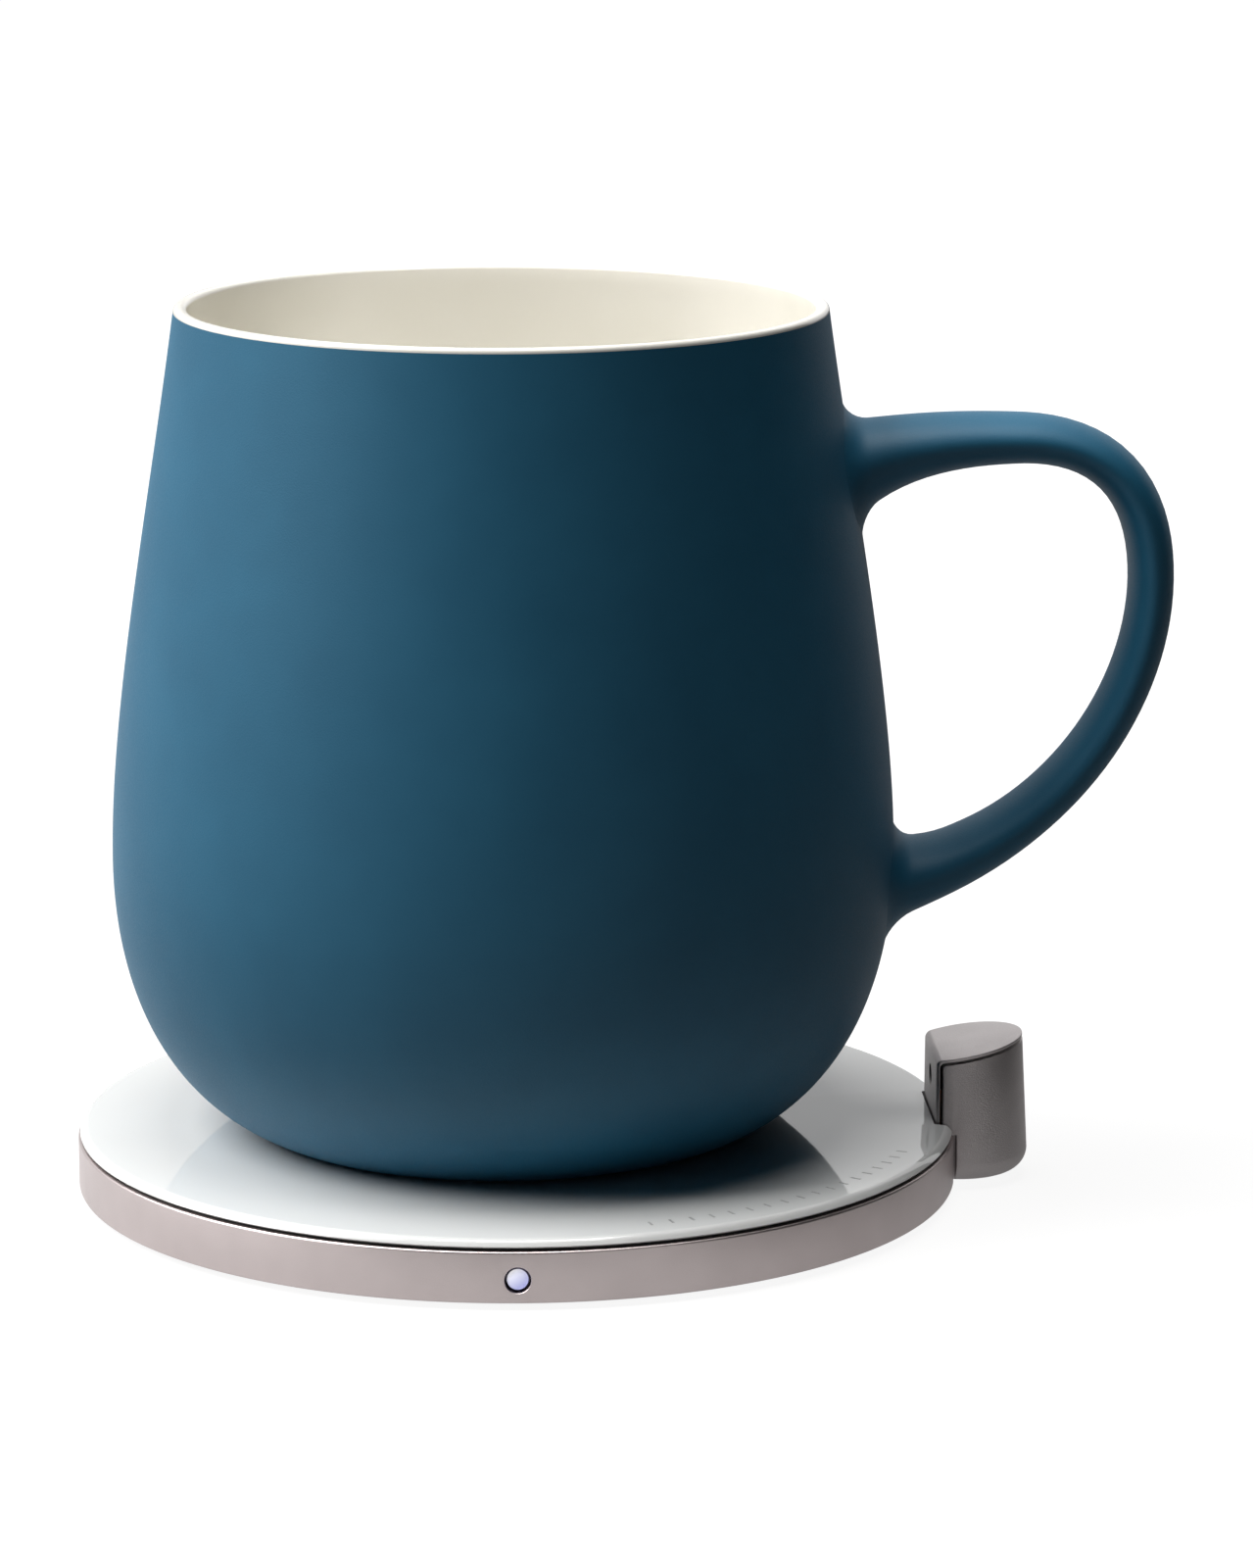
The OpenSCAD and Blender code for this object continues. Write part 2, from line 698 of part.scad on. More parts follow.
// Room for the button's stem above the bottom cover, along its whole travel
module button_pocket() {
  translate([0, 0, button_z]) rotate([90, 0, 0]) translate([0, 0, bar_y - button_travel - inner_gap])
    cylinder(r = button_d / 2 + button_gap, h = rim_wall + 2 * over);
}

// Outline of the inlet, a slot with round ends, grown by extra
module inlet_outline(extra) {
  r = inlet_h / 2 + extra;
  flat = inlet_w - inlet_h;
  square([flat, 2 * r], center = true);
  for (s = [-1, 1]) translate([s * flat / 2, 0]) circle(r = r);
}
inlet_y = pad_r - inlet_inset;
module along_inlet(from) translate([0, from, inlet_z]) rotate([-90, 0, 0]) children();

module rim_ring() color(taupe_metal) difference() {
  union() {
    rotate_extrude() polygon([
      [rim_in_r, foot_proud], [pad_r - rim_bevel, foot_proud], [pad_r, foot_proud + rim_bevel],
      [pad_r, rim_top - rim_bevel], [pad_r - rim_bevel, rim_top], [flange_r, rim_top],
      [flange_r, flange_low], [rim_in_r, flange_low]]);
    at_rim_screws() translate([0, 0, boss_top]) {
      cylinder(r = boss_r, h = rim_boss_h);
      block(0, rim_in_r - screw_r + rim_wall / 2, boss_r / 2, 0, rim_boss_h);
    }
  }
  post_room();
  button_room();
  along_inlet(inlet_y - inlet_len) linear_extrude(inlet_len + 2 * over) inlet_outline(inlet_gap);
  at_rim_screws() thread_hole(boss_top);
}

module bottom_cover() color(grey_plastic) difference() {
  union() {
    disc(cover_r, foot_proud, cover_t);
    at_rim_screws() disc(boss_r, foot_proud, boss_top - foot_proud);
    at_post() at_tongue_screws() disc(boss_r, foot_proud, boss_top - foot_proud);
  }
  disc(foot_mat_r, 0, head_z);
  post_room();
  at_rim_screws() screw_room();
  at_post() at_tongue_screws() screw_room();
  button_pocket();
}

module foot_mat() color(black_rubber)
  disc(foot_mat_r, 0, head_z);

module coil_carrier() color(grey_plastic)
  disc(board_in_r - inner_gap, cover_top, ferrite_z - cover_top);

module transmitter_ferrite() color(ferrite_grey)
  disc(ferrite_r, ferrite_z, ferrite_t);

module transmitter_coil() color(copper)
  translate([0, 0, coil_z]) winding();

module heat_pad() color(soft_pink)
  disc(ferrite_r, heat_pad_z, heat_pad_t, probe_r + inner_gap);

module temperature_probe() color(black_rubber)
  disc(probe_r, coil_z, plate_low - coil_z);

// The board's two tabs, one at the inlet and one at the button's switch
inlet_tab_half = inlet_w / 2 + tab_margin;
switch_y = rim_in_r - 2 * inner_gap - bar_t - button_travel;
switch_tab_half = switch_w / 2 + tab_margin;

module main_board() color(board_green) difference() {
  union() {
    translate([0, 0, cover_top]) rotate(-board_span)
      rotate_extrude(angle = 2 * board_span) translate([board_in_r, 0])
        square([board_out_r - board_in_r, board_t]);
    translate([-inlet_tab_half, board_in_r + over, cover_top])
      cube([2 * inlet_tab_half, inlet_y - inlet_len / 2 - board_in_r - over, board_t]);
    translate([-switch_tab_half, -switch_y, cover_top])
      cube([2 * switch_tab_half, switch_y - board_in_r - over, board_t]);
  }
  along_inlet(inlet_y - inlet_len - inlet_gap)
    linear_extrude(inlet_len) square([inlet_w + 2 * inlet_gap, inlet_h + 2 * inlet_gap], center = true);
}

// Chips and parts on the main board: angle, then length along the radius, width and height as shares
board_parts = [[-62, 1, 1, 0.9], [-40, 0.85, 0.85, 0.9], [-20, 0.7, 0.5, 0.7], [22, 1, 1.3, 1],
  [40, 0.65, 0.65, 0.8], [58, 1.1, 1.1, 1], [-82, 0.5, 0.35, 0.6], [104, 0.5, 0.85, 0.7],
  [-104, 0.5, 0.85, 0.7]];
board_mid_r = (board_in_r + board_out_r) / 2;
module board_chips() color(chip_black) for (p = board_parts) rotate(p[0]) {
  half_len = chip_side * p[1] / 2;
  half_w = chip_side * p[2] / 2;
  block(board_mid_r - half_len, board_mid_r + half_len, half_w, board_top, board_top + chip_h * p[3]);
}

module inlet_shell() color(steel) along_inlet(inlet_y - inlet_len) difference() {
  linear_extrude(inlet_len) inlet_outline(0);
  translate([0, 0, inlet_wall]) linear_extrude(inlet_len) inlet_outline(-inlet_wall);
}

module inlet_contacts() color(chip_black) along_inlet(inlet_y - inlet_len + inlet_wall)
  translate([-contact_w / 2, -contact_t / 2, 0]) cube([contact_w, contact_t, contact_len]);

// Button about its axis along Y: the dome and its stem through the rim, and the bar behind it
bar_y = rim_in_r - inner_gap - bar_t;
dome_steps = 8;
module button_cap() color(lit_lavender) translate([0, 0, button_z]) rotate([90, 0, 0]) {
  r = button_d / 2;
  rotate_extrude() polygon(concat(
    [[0, bar_y], [r, bar_y]],
    [for (i = [0:dome_steps - 1]) [r * cos(90 * i / dome_steps),
      pad_r - button_dome + button_dome * sin(90 * i / dome_steps)]],
    [[0, pad_r]]));
  translate([-bar_half_w, -bar_half_h, bar_y]) cube([2 * bar_half_w, 2 * bar_half_h, bar_t]);
}

module button_plunger() color(black_rubber) translate([0, 0, button_z]) rotate([90, 0, 0])
  translate([0, 0, bar_y - plunger_len]) cylinder(r = plunger_r, h = plunger_len);

module button_switch() color(chip_black) difference() {
  translate([-switch_w / 2, -switch_y, board_top]) cube([switch_w, switch_d, switch_h]);
  translate([0, 0, button_z]) rotate([90, 0, 0])
    translate([0, 0, bar_y - plunger_len - button_travel - plunger_gap])
      cylinder(r = plunger_r + plunger_gap, h = rim_wall + plunger_len);
}

module status_led() color(lit_lavender)
  translate([switch_w / 2 + inner_gap, -switch_y, board_top]) cube([led_w, led_d, led_h]);

module pad_screws() color(steel) {
  at_rim_screws() screw();
  at_post() {
    at_tongue_screws() screw();
    at_post_screw() screw();
  }
}
module screw() translate([0, 0, head_z]) difference() {
  union() {
    cylinder(r = head_r, h = head_h);
    cylinder(r = shank_r, h = head_h + shank_len);
  }
  translate([0, 0, -over]) cylinder(r = shank_r, h = over + head_h / 2, $fn = 6);
}

// Face and cap of the post: an upright wall and a sloping top in one piece, with a tongue into the pad
module post_face() color(dark_taupe) at_post() difference() {
  union() {
    intersection() {
      post_turned(0, foot_proud, post_top + over, 0);
      difference() {
        behind_bend(0, 0, tongue_z);
        behind_bend(face_t, cap_t, tongue_z - over);
      }
    }
    block(tongue_x, face_back, tongue_half_w, tongue_z, tongue_z + tongue_t);
    intersection() {
      at_post_screw() disc(post_column_r, boss_top, post_top - boss_top);
      behind_bend(face_t / 2, cap_t / 2, 0);
    }
    for (s = [-1, 1]) translate([0, s * (sensor_half - inner_gap - rib_half), 0])
      block(face_back - face_t / 2, sensor_x, rib_half, sensor_board_low, sensor_board_top);
  }
  translate([face_x - over, 0, window_z]) rotate([0, 90, 0])
    cylinder(d = window_d, h = face_t + 2 * over);
  at_tongue_screws() thread_hole(boss_top);
  at_post_screw() thread_hole(boss_top);
}

// Shell of the post: its round outer wall and floor
module post_shell() color(dark_taupe) at_post() difference() {
  intersection() {
    post_turned(0, foot_proud, post_top + over, post_round);
    union() {
      block(face_x, post_x, 2 * post_base_r, 0, cover_top);
      behind_bend(face_t + shadow_gap, cap_t + shadow_gap, 0);
    }
  }
  difference() {
    intersection() {
      post_turned(-shell_wall, cover_top, post_top + over, 0);
      block(shell_x - over, post_x + 2 * post_base_r, 2 * post_base_r, 0, post_top + over);
    }
    at_post_screw() disc(post_column_r, cover_top - over, boss_top - cover_top + over);
  }
  at_post_screw() screw_room();
}

module sensor_window() color(chip_black) at_post()
  translate([face_back - window_t, 0, window_z]) rotate([0, 90, 0]) cylinder(d = window_d, h = window_t);

module sensor_chip() color(chip_black) at_post()
  block(face_back, sensor_x, sensor_side / 2, sensor_low, sensor_board_top);

module sensor_board() color(board_green) at_post()
  block(sensor_x, sensor_x + sensor_board_t, sensor_half, sensor_board_low, sensor_board_top);

// Ribbon from the main board, under the post's face and up to the sensor's board
module sensor_ribbon() color(copper) at_post() {
  block(board_out_r - ribbon_lap, sensor_x, ribbon_w / 2, board_top, board_top + ribbon_t);
  block(sensor_x - ribbon_t, sensor_x, ribbon_w / 2, board_top, sensor_low - inner_gap);
}

mug_body();
mug_handle();
inner_glaze();
base_cover();
base_seal();
receiver_coil();
receiver_ferrite();
receiver_board();
receiver_chips();
insulation_pad();
heating_plate();
top_plate();
plate_gasket();
rim_ring();
bottom_cover();
foot_mat();
coil_carrier();
transmitter_ferrite();
transmitter_coil();
heat_pad();
temperature_probe();
main_board();
board_chips();
inlet_shell();
inlet_contacts();
button_cap();
button_plunger();
button_switch();
status_led();
pad_screws();
post_face();
post_shell();
sensor_window();
sensor_chip();
sensor_board();
sensor_ribbon();
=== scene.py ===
# %% [markdown]
# # A self-heating mug on its warming pad
#
# The construction model is already there, as solids with their true sizes. This lesson gives it the looks
# of the real object: rounded edges, glaze, satin metal and soft studio light. Each new piece stands where
# its solid stands, in the same frame, so nothing has to be fitted by eye.

# %% Load the construction model
import json
import math

import bmesh
import bpy
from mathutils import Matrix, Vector


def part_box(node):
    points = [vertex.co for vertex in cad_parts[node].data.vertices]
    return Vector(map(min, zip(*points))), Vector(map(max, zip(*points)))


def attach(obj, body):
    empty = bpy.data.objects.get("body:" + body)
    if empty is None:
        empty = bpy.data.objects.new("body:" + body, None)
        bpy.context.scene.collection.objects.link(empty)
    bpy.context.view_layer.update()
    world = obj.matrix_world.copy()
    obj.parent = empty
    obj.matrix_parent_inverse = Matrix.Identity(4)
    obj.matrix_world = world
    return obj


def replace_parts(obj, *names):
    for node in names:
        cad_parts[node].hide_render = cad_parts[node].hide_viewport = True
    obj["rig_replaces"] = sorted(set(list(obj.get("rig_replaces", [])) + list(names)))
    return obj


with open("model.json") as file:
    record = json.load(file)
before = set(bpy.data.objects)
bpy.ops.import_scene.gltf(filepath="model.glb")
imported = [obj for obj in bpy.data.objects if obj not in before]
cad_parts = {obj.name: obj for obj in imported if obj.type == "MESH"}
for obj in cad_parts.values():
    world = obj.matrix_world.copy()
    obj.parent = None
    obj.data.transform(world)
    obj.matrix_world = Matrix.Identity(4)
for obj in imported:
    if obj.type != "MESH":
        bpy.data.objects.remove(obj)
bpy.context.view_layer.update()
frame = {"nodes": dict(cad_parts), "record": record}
nodes = frame["nodes"]
MM = 0.001

# %% [markdown]
# ## Camera
#
# A product photo is usually taken from some way off with a long lens, so that a round cup doesn't bulge.
# The place of this camera was worked out from the ellipses of the pad's rim and plate.

# %% Place the camera
CAMERA_PLACE = (-0.00009, -0.65014, 0.19089)
LOOK_DOWN, LOOK_RIGHT, CAMERA_ROLL = 0.2162, 0.0201, -0.0006
FOCAL_LENGTH, SENSOR_WIDTH = 130.05, 36

optics = bpy.data.cameras.new("camera")
optics.lens = FOCAL_LENGTH
optics.sensor_width = SENSOR_WIDTH
camera = bpy.data.objects.new("camera", optics)
camera.location = CAMERA_PLACE
camera.rotation_euler = (math.pi / 2 - LOOK_DOWN, CAMERA_ROLL, -LOOK_RIGHT)
scene = bpy.context.scene
scene.collection.objects.link(camera)
scene.camera = camera
print("camera looks down by", round(math.degrees(LOOK_DOWN), 1), "degrees")

# %% [markdown]
# ## Modelling helpers
#
# An operator works on everything that is selected. So every step first leaves edit mode and clears the
# selection, and then picks its own piece. Two ways of modelling come back often: turning an outline round
# an axis, as on a potter's wheel, and drawing a skin over a row of rings, as for a handle.

# %% Pick, tidy and turn
WELD = 1e-7
TURN_STEPS, ROD_SIDES = 192, 64


def start_fresh():
    """Leaves edit mode and clears the selection."""
    active = bpy.context.view_layer.objects.active
    if active and active.mode != "OBJECT":
        bpy.ops.object.mode_set(mode="OBJECT")
    bpy.ops.object.select_all(action="DESELECT")


def pick(piece):
    """Makes a piece the only selected and the active one."""
    start_fresh()
    piece.select_set(True)
    bpy.context.view_layer.objects.active = piece
    return piece


def edit(piece):
    """Picks a piece and opens it in edit mode with everything selected."""
    pick(piece)
    bpy.ops.object.mode_set(mode="EDIT")
    bpy.ops.mesh.select_all(action="SELECT")


def close_skin(piece):
    """Welds doubled points and turns all faces outwards."""
    edit(piece)
    bpy.ops.mesh.remove_doubles(threshold=WELD)
    bpy.ops.mesh.normals_make_consistent(inside=False)
    bpy.ops.object.mode_set(mode="OBJECT")
    return piece


def draw(name, outline, closed):
    """Draws a line through (x, z) points in mm: each point is extruded from the last."""
    start_fresh()
    x, z = outline[0]
    bpy.ops.mesh.primitive_plane_add(size=MM, location=(x * MM, 0, z * MM))
    piece = bpy.context.object
    piece.name = name
    bpy.ops.object.transform_apply()
    edit(piece)
    bpy.ops.mesh.merge(type="CENTER")
    following = outline[1:] + outline[:1] if closed else outline[1:]
    for (x0, z0), (x1, z1) in zip(outline, following):
        step = ((x1 - x0) * MM, 0, (z1 - z0) * MM)
        bpy.ops.mesh.extrude_vertices_move(TRANSFORM_OT_translate={"value": step})
    bpy.ops.mesh.select_all(action="SELECT")
    bpy.ops.mesh.remove_doubles(threshold=WELD)
    return piece


def lathe(name, outline, steps=TURN_STEPS, axis_x=0.0):
    """Turns an outline of (radius, height) points in mm round an upright axis."""
    piece = draw(name, [(axis_x + r, z) for r, z in outline], closed=outline[0][0] > 0)
    bpy.ops.mesh.spin(steps=steps, angle=2 * math.pi, center=(axis_x * MM, 0, 0), axis=(0, 0, 1))
    return close_skin(piece)


def slab(name, outline, reach):
    """Fills an outline of (x, z) points in mm and draws it out along Y, as far to both sides."""
    piece = draw(name, outline, closed=True)
    bpy.ops.transform.translate(value=(0, -reach * MM, 0))
    bpy.ops.mesh.edge_face_add()
    bpy.ops.mesh.extrude_region_move(TRANSFORM_OT_translate={"value": (0, 2 * reach * MM, 0)})
    return close_skin(piece)


def arc(x, z, r, start, end, steps):
    """Points on a round edge, with angles in degrees."""
    angles = [math.radians(start + (end - start) * i / steps) for i in range(steps + 1)]
    return [(x + r * math.cos(a), z + r * math.sin(a)) for a in angles]


def bezier(a, b, c, d, t):
    """Point at t on the cubic curve with ends a and d and handles b and c."""
    shares = ((1 - t) ** 3, 3 * t * (1 - t) ** 2, 3 * t * t * (1 - t), t ** 3)
    return tuple(sum(s * p[i] for s, p in zip(shares, (a, b, c, d))) for i in (0, 1))


def curve(a, b, c, d, steps):
    """Row of points on the cubic curve with ends a and d."""
    return [bezier(a, b, c, d, i / steps) for i in range(steps + 1)]


print("helpers ready")

# %% Draw a skin over rings
def lay(piece, ring):
    """Moves the selected points of a piece to the points of a ring in mm."""
    mesh = bmesh.from_edit_mesh(piece.data)
    place = mesh.verts.layers.int["place"]
    for vert in mesh.verts:
        if vert.select:
            vert.co = Vector(ring[vert[place]]) * MM
    bmesh.update_edit_mesh(piece.data)


def loft(name, rings):
    """Extrudes a circle of points from ring to ring; the first and the last ring are closed."""
    start_fresh()
    bpy.ops.mesh.primitive_circle_add(vertices=len(rings[0]), radius=MM)
    piece = bpy.context.object
    piece.name = name
    edit(piece)
    mesh = bmesh.from_edit_mesh(piece.data)
    place = mesh.verts.layers.int.new("place")
    for number, vert in enumerate(mesh.verts):
        vert[place] = number
    bmesh.update_edit_mesh(piece.data)
    bpy.ops.mesh.edge_face_add()
    lay(piece, rings[0])
    for ring in rings[1:]:
        bpy.ops.mesh.extrude_region_move(TRANSFORM_OT_translate={"value": (0, 0, 0)})
        lay(piece, ring)
    return close_skin(piece)


print("loft ready")

# %% Cut, join and bevel
def cut_away(piece, point, normal):
    """Bisects a piece and throws away what lies on the normal's side of the plane."""
    edit(piece)
    place = [c * MM for c in point]
    bpy.ops.mesh.bisect(plane_co=place, plane_no=normal, use_fill=True, clear_outer=True)
    bpy.ops.object.mode_set(mode="OBJECT")
    return piece


def combine(piece, tool, operation):
    """Cuts a tool out of a piece, joins it on or keeps what both share, and removes the tool."""
    pick(piece)
    modifier = piece.modifiers.new(operation.lower(), "BOOLEAN")
    modifier.operation = operation
    modifier.solver = "EXACT"
    modifier.object = tool
    bpy.ops.object.modifier_apply(modifier=modifier.name)
    bpy.data.objects.remove(tool)
    return piece


def block(name, low, high):
    """A box between two corners in mm."""
    start_fresh()
    bpy.ops.mesh.primitive_cube_add(size=1)
    piece = bpy.context.object
    piece.name = name
    piece.scale = [(b - a) * MM for a, b in zip(low, high)]
    piece.location = [(a + b) / 2 * MM for a, b in zip(low, high)]
    bpy.ops.object.transform_apply()
    return piece


def rod(name, radius, start, end):
    """A round rod between two points in mm that lie on a line along X, Y or Z."""
    start_fresh()
    line = Vector(end) - Vector(start)
    turn = line.to_track_quat("Z", "Y").to_euler()
    middle = (Vector(start) + Vector(end)) / 2 * MM
    bpy.ops.mesh.primitive_cylinder_add(
        vertices=ROD_SIDES, radius=radius * MM, depth=line.length * MM, location=middle, rotation=turn)
    piece = bpy.context.object
    piece.name = name
    bpy.ops.object.transform_apply()
    return piece


def bevel_edges(piece, width, segments, test):
    """Rounds the edges whose two ends both pass the test, which gets a point in mm."""
    edit(piece)
    bpy.ops.mesh.select_mode(type="EDGE")
    bpy.ops.mesh.select_all(action="DESELECT")
    mesh = bmesh.from_edit_mesh(piece.data)
    for edge in mesh.edges:
        edge.select = all(test(vert.co / MM) for vert in edge.verts)
    bmesh.update_edit_mesh(piece.data)
    bpy.ops.mesh.bevel(offset=width * MM, segments=segments, profile=0.5, clamp_overlap=True)
    bpy.ops.mesh.select_mode(type="VERT")
    bpy.ops.object.mode_set(mode="OBJECT")
    return piece


print("tools ready")

# %% [markdown]
# ## Studio
#
# The object stands on a pale floor in a white room. The camera sees the room white, and so do reflections,
# while the soft light from the room itself stays low. The floor grows paler with distance. In a mirror it
# shows painted light on the left and a painted shadow on the right, which shows how round the metal is.

# %% A node helper
def link(tree, source, target):
    """Joins the output of one node to the input of another."""
    tree.links.new(source, target)


def add_node(tree, kind, **sockets):
    """Adds a shader node and sets its inputs by name."""
    node = tree.nodes.new(kind)
    for name, value in sockets.items():
        node.inputs[name.replace("_", " ")].default_value = value
    return node


def calculate(tree, first, second, operation):
    """Math on two sockets, or on a socket and a plain number."""
    node = add_node(tree, "ShaderNodeMath")
    node.operation = operation
    for socket, value in zip(node.inputs, (first, second)):
        if isinstance(value, (int, float)):
            socket.default_value = value
        else:
            link(tree, value, socket)
    return node.outputs[0]


def seen_share(tree, mirrored=1.0):
    """1 for a ray from the camera, mirrored for one from a mirror or clear glass, and 0 for soft light."""
    path = add_node(tree, "ShaderNodeLightPath").outputs
    mirror = calculate(tree, path["Is Glossy Ray"], path["Is Transmission Ray"], "MAXIMUM")
    mirror = calculate(tree, mirror, mirrored, "MULTIPLY")
    return calculate(tree, path["Is Camera Ray"], mirror, "MAXIMUM")


print("node helpers ready")

# %% The white room
ROOM_LIGHT, ROOM_TINT = 0.015, (0.96, 0.98, 1, 1)

room = bpy.data.worlds.new("white_room")
room.use_nodes = True
scene.world = room
tree = room.node_tree
tree.nodes.clear()
shown = add_node(tree, "ShaderNodeBackground", Color=(1, 1, 1, 1), Strength=1.0)
soft = add_node(tree, "ShaderNodeBackground", Color=ROOM_TINT, Strength=ROOM_LIGHT)
choice = add_node(tree, "ShaderNodeMixShader")
world_out = add_node(tree, "ShaderNodeOutputWorld")
link(tree, seen_share(tree), choice.inputs[0])
link(tree, soft.outputs[0], choice.inputs[1])
link(tree, shown.outputs[0], choice.inputs[2])
link(tree, choice.outputs[0], world_out.inputs["Surface"])
print("room light", ROOM_LIGHT)

# %% The floor
FLOOR_SIDE = 6.0
FLOOR_COLOUR = (0.16, 0.16, 0.16, 1)
FLOOR_NEAR, FLOOR_FAR = (0.12, 0.90), (0.50, 1.0)
# Painted light and shade for mirrors: the floor's glow seen in reflections is bright on the left and dark on
# the right.
MIRROR_PAINTED_LIGHT, MIRROR_PAINTED_SHADE = (-0.09, 0.95), (0.11, 0.14)

start_fresh()
bpy.ops.mesh.primitive_plane_add(size=FLOOR_SIDE, location=(0, 0, 0))
floor = bpy.context.object
floor.name = "floor"
paper = bpy.data.materials.new("pale_paper")
paper.use_nodes = True
tree = paper.node_tree
tree.nodes.clear()
matt = add_node(tree, "ShaderNodeBsdfDiffuse", Color=FLOOR_COLOUR)
glow = add_node(tree, "ShaderNodeEmission", Color=(1, 1, 1, 1))
both = add_node(tree, "ShaderNodeAddShader")
paper_out = add_node(tree, "ShaderNodeOutputMaterial")
where = add_node(tree, "ShaderNodeTexCoord")
distance = add_node(tree, "ShaderNodeVectorMath")
distance.operation = "LENGTH"
link(tree, where.outputs["Object"], distance.inputs[0])
rise = add_node(tree, "ShaderNodeMapRange", From_Min=FLOOR_NEAR[0], From_Max=FLOOR_FAR[0],
                To_Min=FLOOR_NEAR[1], To_Max=FLOOR_FAR[1])
link(tree, distance.outputs["Value"], rise.inputs["Value"])
axes = add_node(tree, "ShaderNodeSeparateXYZ")
link(tree, where.outputs["Object"], axes.inputs["Vector"])
# Painted light and shade: the floor's glow for mirror rays falls from bright on the left to a painted shadow
# on the right.
mirrored = add_node(tree, "ShaderNodeMapRange", From_Min=MIRROR_PAINTED_LIGHT[0], From_Max=MIRROR_PAINTED_SHADE[0],
                    To_Min=MIRROR_PAINTED_LIGHT[1], To_Max=MIRROR_PAINTED_SHADE[1])
link(tree, axes.outputs["X"], mirrored.inputs["Value"])
lift = calculate(tree, seen_share(tree, mirrored.outputs["Result"]), rise.outputs["Result"], "MULTIPLY")
link(tree, lift, glow.inputs["Strength"])
link(tree, matt.outputs[0], both.inputs[0])
link(tree, glow.outputs[0], both.inputs[1])
link(tree, both.outputs[0], paper_out.inputs["Surface"])
floor.data.materials.append(paper)
print("floor", FLOOR_SIDE, "m wide")

# %% [markdown]
# ## Lamps
#
# A large soft lamp at the upper left is the key light, and a weaker one overhead lifts the shadows. The third
# lamp has a narrow beam, as from a snoot, and is aimed into the mouth of the mug to light its inside.

# %% The soft lamps
LAMP_COLOUR = (1.0, 0.99, 0.975)
LAMPS = {
    "key_lamp": ((-0.72, -0.05, 0.80), 0.80, 15.8),
    "top_lamp": ((-0.02, 0.00, 1.05), 0.55, 6.5),
}
AIM = Vector((0.0, 0.0, 0.05))


def hang(lamp, place, aim):
    """Puts a lamp in its place and points it at its aim."""
    stand = bpy.data.objects.new(lamp.name, lamp)
    stand.location = place
    stand.rotation_euler = (aim - Vector(place)).to_track_quat("-Z", "Y").to_euler()
    scene.collection.objects.link(stand)


for name, (place, side, watts) in LAMPS.items():
    lamp = bpy.data.lights.new(name, "AREA")
    lamp.shape = "SQUARE"
    lamp.size = side
    lamp.energy = watts
    lamp.color = LAMP_COLOUR
    hang(lamp, place, AIM)
    print(name, watts, "W")

# %% The lamp for the inside
SNOOT_PLACE, SNOOT_AIM = Vector((0.38, -0.35, 0.80)), Vector((0.000, 0.030, 0.098))
SNOOT_WATTS, SNOOT_SIZE, MOUTH_LIT = 19.0, 0.008, 0.036

snoot = bpy.data.lights.new("inside_lamp", "SPOT")
snoot.energy = SNOOT_WATTS
snoot.color = LAMP_COLOUR
snoot.shadow_soft_size = SNOOT_SIZE
snoot.spot_size = 2 * math.atan(MOUTH_LIT / (SNOOT_AIM - SNOOT_PLACE).length)
snoot.spot_blend = 1.0
hang(snoot, SNOOT_PLACE, SNOOT_AIM)
print("inside lamp spreads over", round(math.degrees(snoot.spot_size), 1), "degrees")

# %% [markdown]
# ## Boards and cards
#
# Black boards on the right and in front swallow light, as photographers do to give a round body its shade.
# Two grey cards glow a little and show in reflections only. The camera sees none of the four.

# %% Place, size, turn and glow of each
BOARDS = {
    "right_board": ((0.40, -0.10, 0.50), (0.9, 1.1), 90, 0.0),
    "front_board": ((0.0, -1.10, 0.60), (2.2, 1.4), 0, 0.0),
    "left_card": ((-0.40, 0.55, 0.11), (0.8, 0.22), 0, 0.5),
    "post_card": ((0.085, -0.15, 0.03), (0.11, 0.06), 0, 0.5),
}
for name, (place, size, turn, shade) in BOARDS.items():
    start_fresh()
    upright = (math.pi / 2, 0, math.radians(turn))
    bpy.ops.mesh.primitive_plane_add(size=1, location=place, rotation=upright)
    board = bpy.context.object
    board.name = name
    board.scale = (*size, 1)
    bpy.ops.object.transform_apply()
    felt = bpy.data.materials.new(name)
    felt.use_nodes = True
    felt.node_tree.nodes.clear()
    grey = add_node(felt.node_tree, "ShaderNodeEmission", Color=(1, 1, 1, 1), Strength=shade)
    felt_out = add_node(felt.node_tree, "ShaderNodeOutputMaterial")
    link(felt.node_tree, grey.outputs[0], felt_out.inputs["Surface"])
    board.data.materials.append(felt)
    board.visible_camera = False
    board.visible_diffuse = board.visible_shadow = shade == 0
    print(name, "at", place)

# %% [markdown]
# ## Finishes
#
# No real surface has one flat colour. A node group makes two patterns once, a fine grain and broad soft
# patches, and each finish places that group with its own scales. The patterns read Object coordinates,
# so they stay on the piece when it moves.

# %% The grain group
NOISE_ROUGHNESS, NOISE_LOW, NOISE_HIGH = 0.55, 0.3, 0.7
PATTERNS = (("Grain", "Grain Scale", 3.0), ("Patches", "Patch Scale", 2.0))

